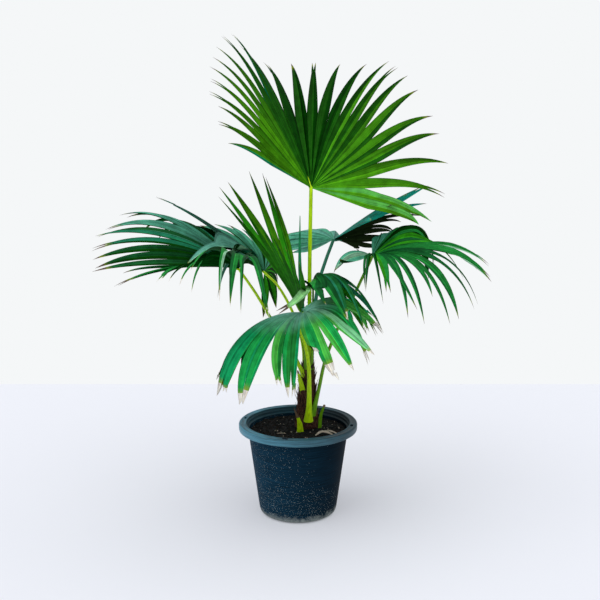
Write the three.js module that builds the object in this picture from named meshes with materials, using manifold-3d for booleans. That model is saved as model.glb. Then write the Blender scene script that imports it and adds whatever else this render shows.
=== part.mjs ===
// A young Chinese fan palm, Livistona chinensis, growing in a plastic nursery pot.
// Millimetres, +Z up. The pot stands on z = 0 round the origin, and the plant's front faces -Y.
import * as THREE from "three";
import { mergeVertices } from "three/addons/utils/BufferGeometryUtils.js";
import Module from "manifold-3d";

const wasm = await Module();
wasm.setup();

// ---------------------------------------------------------------- driving dimensions

// Clearance between two pieces that touch on the real plant.
const GAP = 0.3;

const POT = {
  height: 233,
  rimRadius: 150,
  mouthRadius: 131,
  lipDrop: 17,
  lipWall: 3,
  wall: 3,
  floor: 4,
  neckRadius: 127,
  baseRadius: 99,
  footRadius: 90,
  cornerHeight: 11,
  ridgeStep: 1.5,
  ridgeHeights: [219, 226],
  round: 3,
  sides: 40,
};

// Four hanger slots through the flat of the rim, and the drain holes in the pot's floor.
const RIM_SLOTS = { count: 4, firstAngle: 167, length: 14, width: 4, radius: 136.5 };
const DRAINS = { count: 6, radius: 8, circle: 62, sides: 12 };

const SOIL = { level: 214, dip: 4, flatRadius: 84 };

// The trunk's axis leans a little, and its radius tapers from the flare to the crown.
const TRUNK = {
  path: [[22, 20, SOIL.level - 2], [22, 20, 232], [23, 20, 290], [25, 20, 345], [26, 20, 384]],
  radii: [31, 27, 24, 19, 15],
  sides: 16,
  steps: 8,
};

// Blades are drawn thicker than life, a hundredth of the longest segment.
const BLADE_THICKNESS = 4;
// How far the rib of a segment lies below its edges, as a share of its half width.
const PLEAT = 0.3;
// The round hub that the ribs spring from, and the length of the stub under the blade.
const HUB = { radius: 12, stub: 18, sides: 8 };
// The blade's thickness at the hub, as a share of BLADE_THICKNESS.
const HUB_THINNING = 0.15;
// How much wider than its own foot a petiole is where it enters the trunk.
const FOOT_FLARE = 1.15;
// Straight steps in the rule that bends a rib.
const RIB_STEPS = 24;
// Angle over which the two halves of a blade turn into the fold at its midrib.
const CREASE = THREE.MathUtils.degToRad(8);

// One entry for each frond. Angles are in degrees. heading and rise point the midrib, roll turns
// the blade about it, foldLeft and foldRight lift its halves, and dish lifts every rib alike.
// spreadLeft and spreadRight are the angles of the outermost ribs, and crowdLeft and crowdRight
// gather the ribs towards the midrib. endLeft and endRight are the outermost ribs' lengths as a
// share of length, and lean lengthens one side. sag bends a rib all along, droop from bend on,
// sideDroop adds to that at the sides, and bow curls it along the blade's normal. cut is the
// share of the length where the segments part. petiole is the stalk from the trunk to the hub.
const FRONDS = [
  {
    name: "top", colour: 0x4f9f22,
    segments: 26, length: 436, heading: 85, rise: 66, roll: 57,
    foldLeft: 15, foldRight: 75, dish: -19, spreadLeft: 82, spreadRight: 103,
    crowdLeft: 0.76, crowdRight: 0.95, endLeft: 0.62, endRight: 0.69, lean: 0.05,
    sag: 0, droop: 2.56, sideDroop: -1, bow: -0.02, bend: 0.5, cut: 0.52,
    petiole: [[29, 21, 366], [29, 20, 430], [29, 20, 617], [32, 20, 819]], stalk: [5.4, 4.6],
  },
  {
    name: "small", colour: 0x23744a,
    segments: 14, length: 232, heading: -35, rise: 30, roll: -32,
    foldLeft: -3, foldRight: -10, dish: -6, spreadLeft: 79, spreadRight: 100,
    crowdLeft: 0.83, crowdRight: 1.33, endLeft: 0.6, endRight: 0.63, lean: 0.06,
    sag: 1.07, droop: 0, sideDroop: -1, bow: -0.66, bend: 0.25, cut: 0.5,
    petiole: [[33, 11, 366], [37, 4, 450], [37, -4, 525], [37, -10, 597]], stalk: [4.6, 4],
  },
  {
    name: "young", colour: 0x3f8f1c,
    segments: 11, length: 363, heading: 198, rise: 54, roll: -56,
    foldLeft: 58, foldRight: -8, dish: 11, spreadLeft: 55, spreadRight: 34,
    crowdLeft: 0.94, crowdRight: 0.9, endLeft: 0.91, endRight: 0.96, lean: -0.04,
    sag: 0, droop: 0, sideDroop: -0.29, bow: -0.26, bend: 0.63, cut: 0.5,
    petiole: [[20, 12, 366], [18, 8, 420], [7, 0, 515]], stalk: [5, 4.4],
  },
  {
    name: "front", colour: 0x1f9a50,
    segments: 22, length: 271, heading: 280, rise: 4, roll: 63,
    foldLeft: -38, foldRight: 75, dish: 23, spreadLeft: 150, spreadRight: 150,
    crowdLeft: 1.19, crowdRight: 1.23, endLeft: 0.8, endRight: 1.17, lean: -0.1,
    sag: 1.7, droop: 0, sideDroop: 0, bow: -0.62, bend: 0.39, cut: 0.5,
    petiole: [[26, 2, 236], [28, -11, 300], [26, -20, 387], [17, -35, 441], [5, -50, 489],
      [14, -65, 525]], stalk: [8.5, 4.4],
  },
  {
    name: "right", colour: 0x2a7f3c,
    segments: 26, length: 312, heading: -21, rise: -8, roll: 16,
    foldLeft: 2, foldRight: 15, dish: 32, spreadLeft: 105, spreadRight: 124,
    crowdLeft: 0.95, crowdRight: 0.91, endLeft: 0.48, endRight: 0.57, lean: 0.14,
    sag: 1.63, droop: 1.64, sideDroop: -0.97, bow: 0.28, bend: 0.25, cut: 0.45,
    petiole: [[32, 16, 276], [50, 13, 316], [65, 15, 381], [93, 20, 455], [130, 20, 534],
      [184, 20, 652]], stalk: [6, 4.4],
  },
  {
    name: "left", colour: 0x1f7a52,
    segments: 25, length: 363, heading: 220, rise: 51, roll: -5,
    foldLeft: 38, foldRight: 54, dish: -29, spreadLeft: 59, spreadRight: 75,
    crowdLeft: 0.76, crowdRight: 1.05, endLeft: 0.97, endRight: 0.76, lean: -0.03,
    sag: 0.55, droop: 0.55, sideDroop: 3.7, bow: -0.13, bend: 0.3, cut: 0.5,
    petiole: [[18, 15, 345], [-32, 0, 449], [-67, -10, 502], [-105, -20, 568],
      [-143, -30, 626]], stalk: [5, 4],
  },
  {
    name: "back_left", colour: 0x4f8077,
    segments: 20, length: 262, heading: 158, rise: 81, roll: 26,
    foldLeft: 31, foldRight: 59, dish: -27, spreadLeft: 48, spreadRight: 120,
    crowdLeft: 1.18, crowdRight: 1, endLeft: 0.62, endRight: 0.56, lean: 0.38,
    sag: 0.75, droop: 0, sideDroop: 2.95, bow: -0.43, bend: 0.36, cut: 0.5,
    petiole: [[18, 28, 352], [13, 40, 420], [-12, 62, 500], [-54, 82, 572], [-88, 100, 602]],
    stalk: [5, 4],
  },
  {
    name: "back", colour: 0x3a7a66,
    segments: 22, length: 297, heading: 56, rise: 12, roll: -19,
    foldLeft: 36, foldRight: 28, dish: -14, spreadLeft: 99, spreadRight: 112,
    crowdLeft: 0.8, crowdRight: 1.1, endLeft: 0.45, endRight: 0.96, lean: 0.02,
    sag: 0.81, droop: 0.12, sideDroop: 0.58, bow: 0.62, bend: 0.35, cut: 0.55,
    petiole: [[31, 30, 360], [38, 52, 440], [51, 110, 560], [71, 140, 623], [94, 170, 680]],
    stalk: [5, 4.2],
  },
];

// The unopened spear leaf, and three old leaf bases left on the trunk. flat is the section's
// depth as a share of its width.
const SHOOTS = [
  {
    name: "spear_leaf", path: [[24, 25, 372], [16, 20, 470], [5, 12, 620], [5, 10, 752]],
    radii: [4, 5, 4.5, 0.8], flat: 0.6, sides: 8, steps: 8, colour: 0x2f8a6a,
  },
  {
    name: "leaf_base_left", path: [[14, 6, 300], [8, 0, 330], [-1, -3, 366]],
    radii: [9, 7, 2], flat: 0.5, sides: 8, steps: 4, colour: 0x7fbf1e,
  },
  {
    name: "leaf_base_front", path: [[6, -22, SOIL.level - 4], [3, -26, 240], [-10, -27, 274]],
    radii: [10, 8, 1.5], flat: 0.55, sides: 8, steps: 4, colour: 0x9dc234,
  },
  {
    name: "leaf_base_right", path: [[55, 12, SOIL.level - 4], [58, 8, 245], [67, 2, 275]],
    radii: [5.5, 4.5, 3], flat: 0.7, sides: 8, steps: 4, colour: 0x4f9a2a,
  },
];

// ---------------------------------------------------------------- shapes and solids

const vec = (p) => new THREE.Vector3(...p);

// A closed geometry as a manifold-3d solid, from its positions alone.
function solid(geometry) {
  const bare = geometry.clone();
  bare.deleteAttribute("normal");
  bare.deleteAttribute("uv");
  const merged = mergeVertices(bare, 1e-4);
  return new wasm.Manifold(new wasm.Mesh({
    numProp: 3,
    vertProperties: new Float32Array(merged.attributes.position.array),
    triVerts: new Uint32Array(merged.index.array),
  }));
}

// A solid as a geometry again.
function geometryOf(made) {
  const mesh = made.getMesh();
  const positions = new Float32Array(mesh.numVert * 3);
  for (let i = 0; i < mesh.numVert; i++) {
    positions.set(mesh.vertProperties.subarray(i * mesh.numProp, i * mesh.numProp + 3), i * 3);
  }
  const geometry = new THREE.BufferGeometry();
  geometry.setAttribute("position", new THREE.BufferAttribute(positions, 3));
  geometry.setIndex(new THREE.BufferAttribute(new Uint32Array(mesh.triVerts), 1));
  geometry.computeVertexNormals();
  return geometry;
}

const largestBody = (made) =>
  made.decompose().reduce((a, b) => (b.volume() > a.volume() ? b : a));

// A profile of [radius, height] pairs turned about +Z, with its ends on the axis.
function turned(profile, sides) {
  const points = profile.map(([r, z]) => new THREE.Vector2(r, z));
  return new THREE.LatheGeometry(points, sides).rotateX(Math.PI / 2);
}

// Triangles from rings of points, one after another, closed by a fan at each end.
function ringSolid(rings) {
  const sides = rings[0].length;
  const points = rings.flat();
  const faces = [];
  for (let i = 0; i + 1 < rings.length; i++) {
    for (let j = 0; j < sides; j++) {
      const a = i * sides + j;
      const b = i * sides + ((j + 1) % sides);
      faces.push(a, b, b + sides, a, b + sides, a + sides);
    }
  }
  const last = (rings.length - 1) * sides;
  for (let j = 1; j + 1 < sides; j++) {
    faces.push(0, j + 1, j);
    faces.push(last, last + j, last + j + 1);
  }
  return indexed(points, faces);
}

function indexed(points, faces) {
  const geometry = new THREE.BufferGeometry().setFromPoints(points);
  geometry.setIndex(faces);
  return geometry;
}

// A tapering limb along a smooth path. grow makes it fatter all round, for cutting clearances.
function limb({ path, radii, sides, steps, flat = 1, grow = 0 }) {
  const curve = new THREE.CatmullRomCurve3(path.map(vec), false, "centripetal");
  const frames = curve.computeFrenetFrames(steps, false);
  const rings = [];
  for (let i = 0; i <= steps; i++) {
    const along = (i / steps) * (radii.length - 1);
    const from = Math.min(Math.floor(along), radii.length - 2);
    const radius = THREE.MathUtils.lerp(radii[from], radii[from + 1], along - from) + grow;
    const centre = curve.getPointAt(i / steps);
    rings.push(Array.from({ length: sides }, (_, j) => {
      const angle = (2 * Math.PI * j) / sides;
      return centre.clone()
        .addScaledVector(frames.normals[i], radius * flat * Math.cos(angle))
        .addScaledVector(frames.binormals[i], radius * Math.sin(angle));
    }));
  }
  return ringSolid(rings);
}

// ---------------------------------------------------------------- the fan blade

// The blade's own axes: midrib, side and normal.
function bladeFrame({ heading, rise, roll }) {
  const [a, e, r] = [heading, rise, roll].map(THREE.MathUtils.degToRad);
  const midrib = new THREE.Vector3(
    Math.cos(e) * Math.cos(a), Math.cos(e) * Math.sin(a), Math.sin(e));
  const up = new THREE.Vector3(
    -Math.sin(e) * Math.cos(a), -Math.sin(e) * Math.sin(a), Math.cos(e));
  const across = up.clone().cross(midrib);
  return {
    midrib,
    side: across.clone().multiplyScalar(Math.cos(r)).addScaledVector(up, Math.sin(r)),
    normal: across.multiplyScalar(-Math.sin(r)).addScaledVector(up, Math.cos(r)),
  };
}

// The points of one rib, from the hub to its tip. place runs from -spreadRight to spreadLeft.
function rib(frond, place) {
  const left = place > 0;
  const spread = left ? frond.spreadLeft : frond.spreadRight;
  const crowd = left ? frond.crowdLeft : frond.crowdRight;
  const share = Math.sign(place) * Math.abs(place / spread) ** crowd;
  const angle = THREE.MathUtils.degToRad(share * spread);
  const fold = THREE.MathUtils.degToRad(left ? frond.foldLeft : frond.foldRight)
    * Math.tanh(Math.abs(angle) / CREASE);
  const dish = THREE.MathUtils.degToRad(frond.dish);
  const { midrib, side, normal } = bladeFrame(frond);
  const heading = midrib.clone().multiplyScalar(Math.cos(angle))
    .addScaledVector(side, Math.sin(angle) * Math.cos(fold))
    .addScaledVector(normal, Math.abs(Math.sin(angle)) * Math.sin(fold))
    .multiplyScalar(Math.cos(dish)).addScaledVector(normal, Math.sin(dish)).normalize();
  const end = left ? frond.endLeft : frond.endRight;
  const length = frond.length
    * (1 + (end - 1) * share ** 2 + frond.lean * Math.sin(Math.PI * share));
  const point = vec(frond.petiole.at(-1));
  const points = [point.clone()];
  for (let i = 0; i < RIB_STEPS; i++) {
    const t = (i + 0.5) / RIB_STEPS;
    const tipward = Math.max(0, (t - frond.bend) / (1 - frond.bend));
    const pull = frond.sag + (frond.droop + frond.sideDroop * share ** 2) * tipward;
    heading.z -= pull / RIB_STEPS;
    heading.addScaledVector(normal, frond.bow / RIB_STEPS).normalize();
    point.addScaledVector(heading, length / RIB_STEPS);
    points.push(point.clone());
  }
  return { points, length };
}

function along(line, t) {
  const place = THREE.MathUtils.clamp(t, 0, 1) * RIB_STEPS;
  const i = Math.min(Math.floor(place), RIB_STEPS - 1);
  return line.points[i].clone().lerp(line.points[i + 1], place - i);
}

function heading(line, t) {
  const step = 1 / RIB_STEPS;
  return along(line, t + step / 2).sub(along(line, t - step / 2)).normalize();
}

// The blade's upper face as one sheet: pleated as far as the cut, then a tapering V for each
// segment. thin says how much of the blade's thickness each point has.
function bladeSheet(frond, grow) {
  const { segments, spreadLeft, spreadRight, cut } = frond;
  const step = (spreadLeft + spreadRight) / (segments - 1);
  const edges = [];
  const ribs = [];
  for (let i = 0; i <= segments; i++) edges.push(rib(frond, -spreadRight + (i - 0.5) * step));
  for (let i = 0; i < segments; i++) ribs.push(rib(frond, -spreadRight + i * step));
  const points = [];
  const thin = [];
  const faces = [];
  const put = (point, share) => {
    points.push(point);
    thin.push(share);
    return points.length - 1;
  };
  const quad = (a, b, c, d) => faces.push(a, b, c, a, c, d);
  const start = (HUB.radius - 1) / frond.length;
  const joined = [start, (start + cut) / 2, cut];
  const rows = joined.map((t, row) => {
    const share = row ? 1 : HUB_THINNING;
    const edge = edges.map((line) => put(along(line, t), share));
    const middle = ribs.map((line, i) => {
      const a = points[edge[i]];
      const b = points[edge[i + 1]];
      const up = heading(line, t).cross(b.clone().sub(a)).normalize();
      return put(along(line, t).addScaledVector(up, -PLEAT * a.distanceTo(b) / 2), share);
    });
    return { edge, middle };
  });
  for (let row = 0; row + 1 < rows.length; row++) {
    const [near, far] = [rows[row], rows[row + 1]];
    for (let i = 0; i < segments; i++) {
      quad(near.edge[i], far.edge[i], far.middle[i], near.middle[i]);
      quad(near.middle[i], far.middle[i], far.edge[i + 1], near.edge[i + 1]);
    }
  }
  const free = [0.4, 0.75];
  const root = rows.at(-1);
  for (let i = 0; i < segments; i++) {
    const across = points[root.edge[i + 1]].clone().sub(points[root.edge[i]]);
    const halfWidth = across.length() / 2;
    let before = [root.edge[i], root.middle[i], root.edge[i + 1]];
    for (const share of free) {
      const t = cut + (1 - cut) * share;
      const ahead = heading(ribs[i], t);
      const side = across.clone().addScaledVector(ahead, -across.dot(ahead)).normalize();
      const up = ahead.clone().cross(side);
      const half = halfWidth * (1 - share ** 1.7) + grow;
      const centre = along(ribs[i], t);
      const row = [
        put(centre.clone().addScaledVector(side, -half), 1),
        put(centre.clone().addScaledVector(up, -PLEAT * half), 1),
        put(centre.clone().addScaledVector(side, half), 1),
      ];
      quad(before[0], row[0], row[1], before[1]);
      quad(before[1], row[1], row[2], before[2]);
      before = row;
    }
    const end = ribs[i].points.at(-1).clone().addScaledVector(heading(ribs[i], 1), 4 * grow);
    const tip = put(end, 0.5);
    faces.push(before[0], tip, before[1]);
    faces.push(before[1], tip, before[2]);
  }
  return { points, faces, thin };
}

// Gives a sheet its thickness: both faces along the sheet's normals, and a wall round its edge.
function thickened({ points, faces, thin }, thickness) {
  const sheet = indexed(points, faces);
  sheet.computeVertexNormals();
  const normals = sheet.getAttribute("normal");
  const shift = (i, sign) => points[i].clone().addScaledVector(
    new THREE.Vector3().fromBufferAttribute(normals, i), (sign * thin[i] * thickness) / 2);
  const count = points.length;
  const all = [...points.map((_, i) => shift(i, 1)), ...points.map((_, i) => shift(i, -1))];
  const closed = [...faces];
  const seen = new Map();
  for (let f = 0; f < faces.length; f += 3) {
    const [a, b, c] = faces.slice(f, f + 3);
    closed.push(a + count, c + count, b + count);
    for (const [p, q] of [[a, b], [b, c], [c, a]]) seen.set(`${p},${q}`, [p, q]);
  }
  for (const [p, q] of seen.values()) {
    if (!seen.has(`${q},${p}`)) closed.push(q, p, p + count, q, p + count, q + count);
  }
  return indexed(all, closed);
}

// The smooth line that a frond's stalk follows, from inside the trunk to the hub.
function stalkCurve(frond) {
  return new THREE.CatmullRomCurve3(frond.petiole.map(vec), false, "centripetal");
}

function blade(frond, grow = 0) {
  const hub = vec(frond.petiole.at(-1));
  const curve = stalkCurve(frond);
  const down = curve.getTangentAt(1).negate();
  const radius = frond.stalk[1] + grow;
  const stub = new THREE.CylinderGeometry(radius, radius, HUB.stub, HUB.sides);
  stub.translate(0, HUB.stub / 2, 0);
  stub.applyQuaternion(new THREE.Quaternion().setFromUnitVectors(
    new THREE.Vector3(0, 1, 0), down));
  stub.translate(...hub);
  const ball = new THREE.SphereGeometry(HUB.radius + grow, HUB.sides, HUB.sides / 2);
  ball.translate(...hub);
  const sheet = thickened(bladeSheet(frond, grow), BLADE_THICKNESS + 2 * grow);
  return solid(sheet).add(solid(ball)).add(solid(stub));
}

// The stalk from inside the trunk to just short of the stub under the blade.
function petiole(frond, grow = 0) {
  const curve = stalkCurve(frond);
  const stop = 1 - (HUB.stub + GAP) / curve.getLength();
  const count = frond.petiole.length + 1;
  const path = Array.from({ length: count + 1 }, (_, i) =>
    curve.getPointAt((stop * i) / count).toArray());
  const [foot, top] = frond.stalk;
  const radii = [foot * FOOT_FLARE, foot, (foot + top) / 2, top, top];
  return solid(limb({ path, radii, sides: 8, steps: 9, grow }));
}

// ---------------------------------------------------------------- pot, soil and trunk

function potSolid() {
  const P = POT;
  const lipFoot = P.height - P.lipDrop;
  const inner = P.neckRadius - P.wall;
  const [low, high] = P.ridgeHeights;
  const outline = [
    [0, 0], [P.footRadius, 0], [P.baseRadius - 2, P.cornerHeight * 0.4],
    [P.baseRadius, P.cornerHeight], [P.neckRadius, lipFoot],
    [P.mouthRadius + P.round, P.height - P.wall - 1],
    [P.rimRadius - P.lipWall, P.height - P.wall - 1], [P.rimRadius - P.lipWall, lipFoot],
    [P.rimRadius, lipFoot], [P.rimRadius, P.height - P.round],
    [P.rimRadius - P.round * 0.3, P.height - P.round * 0.3],
    [P.rimRadius - P.round, P.height],
    [P.mouthRadius + 1, P.height], [P.mouthRadius, P.height - 1],
    [P.mouthRadius - P.ridgeStep, high], [P.mouthRadius - 2 * P.ridgeStep, high - 1],
    [P.mouthRadius - 2.5 * P.ridgeStep, low], [inner, low - 1],
    [P.baseRadius - P.wall, P.cornerHeight], [P.footRadius - P.wall, P.floor], [0, P.floor],
  ];
  let made = solid(turned(outline, P.sides));
  const slot = RIM_SLOTS;
  for (let i = 0; i < slot.count; i++) {
    const cutter = new THREE.BoxGeometry(slot.width, slot.length, 3 * P.wall);
    cutter.translate(slot.radius, 0, P.height);
    cutter.rotateZ(THREE.MathUtils.degToRad(slot.firstAngle + (360 * i) / slot.count));
    made = made.subtract(solid(cutter));
  }
  for (let i = 0; i < DRAINS.count; i++) {
    const { radius, circle, sides } = DRAINS;
    const cutter = new THREE.CylinderGeometry(radius, radius, 3 * P.floor, sides);
    cutter.rotateX(Math.PI / 2).translate(circle, 0, 0);
    cutter.rotateZ((2 * Math.PI * i) / DRAINS.count);
    made = made.subtract(solid(cutter));
  }
  return made;
}

// grow raises the surface alone, so that what stands on the soil can be cut clear of it.
function soilSolid(grow = 0) {
  const P = POT;
  const inner = P.neckRadius - P.wall - GAP;
  const base = P.baseRadius - P.wall - GAP;
  const rise = (SOIL.level - SOIL.dip - P.cornerHeight) / (P.ridgeHeights[0] - 1 - P.cornerHeight);
  const rimSide = base + (inner - base) * rise;
  return solid(turned([
    [0, P.floor + GAP], [P.footRadius - P.wall - GAP, P.floor + GAP], [base, P.cornerHeight],
    [rimSide, SOIL.level - SOIL.dip + grow], [SOIL.flatRadius, SOIL.level + grow],
    [0, SOIL.level + grow],
  ], P.sides));
}

// ---------------------------------------------------------------- the assembly

const palm = new THREE.Group();
palm.name = "chinese_fan_palm";

// What is already in place, each a little fatter than life, for later pieces to keep clear of.
const taken = [];

function place(name, made, colour, { roughness = 0.6, fat } = {}) {
  let body = made;
  for (const other of taken) {
    if (body.intersect(other).volume() > 0) body = body.subtract(other);
  }
  body = largestBody(body);
  if (fat) taken.push(fat.add(body));
  const material = new THREE.MeshStandardMaterial({ color: colour, roughness, metalness: 0 });
  const mesh = new THREE.Mesh(geometryOf(body), material);
  mesh.name = name;
  palm.add(mesh);
}

place("pot", potSolid(), 0x1d4a63, { roughness: 0.5 });
place("soil", soilSolid(), 0x1f1a17, { roughness: 0.95, fat: soilSolid(GAP) });
place("trunk", solid(limb(TRUNK)), 0x4a3026, {
  roughness: 0.9,
  fat: solid(limb({ ...TRUNK, grow: GAP })),
});
for (const frond of FRONDS) {
  place("petiole_" + frond.name, petiole(frond), 0x7fae2c, { fat: petiole(frond, GAP) });
}
for (const shoot of SHOOTS) {
  place(shoot.name, solid(limb(shoot)), shoot.colour, { fat: solid(limb({ ...shoot, grow: GAP })) });
}
for (const frond of FRONDS) {
  place("blade_" + frond.name, blade(frond), frond.colour, { fat: blade(frond, 2 * GAP) });
}

export default palm;
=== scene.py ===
"""A young Chinese fan palm in its nursery pot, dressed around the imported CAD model."""

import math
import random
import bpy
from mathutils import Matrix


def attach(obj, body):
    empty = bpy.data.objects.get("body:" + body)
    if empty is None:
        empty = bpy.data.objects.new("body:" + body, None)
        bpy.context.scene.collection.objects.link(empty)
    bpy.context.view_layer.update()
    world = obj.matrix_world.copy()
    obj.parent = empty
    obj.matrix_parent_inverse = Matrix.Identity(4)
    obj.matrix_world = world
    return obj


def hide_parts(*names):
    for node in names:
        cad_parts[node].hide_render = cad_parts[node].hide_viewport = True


bl_info = {
    "name": "Potted Chinese Fan Palm",
    "version": (1, 0, 0),
    "blender": (4, 5, 0),
    "location": "View3D > Sidebar > Palm",
    "description": "Builds the blades, stalks, trunk, soil and pot of a young fan palm",
    "category": "Add Mesh",
}

import bmesh
import bpy
import numpy as np
from bpy.props import FloatProperty, FloatVectorProperty, IntProperty, PointerProperty
from bpy.types import NodeSocket, Operator, Panel, PropertyGroup
from mathutils import Vector, noise

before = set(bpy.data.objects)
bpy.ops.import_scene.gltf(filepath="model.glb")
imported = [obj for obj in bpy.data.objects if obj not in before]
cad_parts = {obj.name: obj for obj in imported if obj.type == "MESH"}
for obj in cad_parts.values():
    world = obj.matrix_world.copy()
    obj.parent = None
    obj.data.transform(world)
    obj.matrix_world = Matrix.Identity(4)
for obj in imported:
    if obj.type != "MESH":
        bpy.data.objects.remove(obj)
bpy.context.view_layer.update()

# ------------------------------------------------------------------ driving sizes, in millimetres

MM = 0.001
BODY = "root"

POT = dict(
    height=233, rim_radius=150, mouth_radius=131, lip_drop=17, lip_wall=3, wall=3, floor=4,
    neck_radius=127, base_radius=99, foot_radius=90, corner_height=11, ridge_top=227,
    ridge_foot=218, rounding=1.6, sides=180,
)
RIM_SLOTS = dict(count=4, first_angle=167, length=14, width=7, radius=138)
DRAINS = dict(count=6, radius=8, circle=62, sides=20)
# The soil dips towards the wall, and lumps and heaps of two sizes stand out of it.
SOIL = dict(
    level=214, dip=4, flat_radius=84, edge_radius=122.5, foot=12, shoulder=200, wall_rings=6,
    rings=46, sides=132, settled=1.5, lump_size=17, lump_rise=1.9, heap_size=45, heap_rise=2.2,
)
# The dry roots that lie on the soil: path and radii.
ROOTS = (
    ([(42, -58, 214), (58, -48, 221), (76, -50, 219), (92, -60, 214)], (2, 4, 3, 1.4)),
    ([(60, -30, 216), (80, -36, 219), (100, -44, 214)], (1.4, 3.2, 1.2)),
    ([(-52, -40, 214), (-40, -46, 217), (-30, -40, 214)], (0.8, 1.4, 0.8)),
)
# Sheaths overlap round the trunk at even steps, and their fibres run up it.
TRUNK = dict(
    path=[(22, 20, 214), (22, 20, 232), (23, 20, 290), (25, 20, 345), (26, 20, 384)],
    radii=[31, 27, 24, 19, 15], rings=110, sides=128, sunk=1.6, sheath_step=26, sheath_rise=2.2,
    strand_width=2.2, strand_length=16, strand_rise=1.1, lump_length=20, lump_rise=1.2,
)
# Some sheath ends have torn loose. They go round the trunk by a turn in radians from each to the
# next, and each has a length, a half width and a swirl between two values.
FLAPS = dict(
    count=26, first=232, over=142, stray=4, turn=2.4, length=(16, 32), half=(3, 6),
    lift=5, lift_share=(0.4, 1.4), swirl=0.4,
)
# A stalk is a channelled oval, its depths given as shares of its half width. That is the share
# waist of what its frond says, and more by the share flare at the foot, which fades over
# flare_run. Under the blade the stalk runs on to the share tail of the midrib, and ends in tip.
STALK = dict(
    sides=14, upper=0.75, lower=0.85, channel=0.3, thorns_up_to=0.5, waist=0.75, flare=0.8,
    flare_run=26, tail=0.2, tip=0.6,
)

# A segment starts at HUB_RADIUS from the hub, and its rib is drawn in RIB_STEPS steps. A blade
# folds within the angle CREASE of its midrib.
HUB_RADIUS = 4
RIB_STEPS = 24
CREASE = math.radians(8)
# A stray tip starts to bend away at the share STRAY_FROM of its rib.
STRAY_FROM = 0.25
# The dead share of a segment is its frond's times a number drawn from DEAD_SPREAD. The tissue
# yellows over the share FADE of the rib before it. WHOLE stands for a segment with no dead tip.
DEAD_SPREAD = (0.4, 1.7)
FADE = 0.04
WHOLE = 2
# A forked tip parts at the share FORK_AT of the way from its cut to its end. It needs to be
# FORK_WIDTH wide there.
FORK_AT = 0.76
FORK_WIDTH = 5
# A strip is closed below the half width CLOSED and drawn no thinner than THINNEST.
CLOSED = 0.4
THINNEST = 0.12
# The share of the segments whose two facets swap their shades.
SWAPPED = 0.2
# A frond has up to six shades, numbered from 0, and the next number stands for its underside.
SHADES = 6

# What a frond has where its entry says nothing else.
PLAIN = dict(
    bloom=0, bulges={}, broad={}, twist={}, dried={}, missing=(), whole=(), bleached=99,
    under="deep_under")

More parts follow.
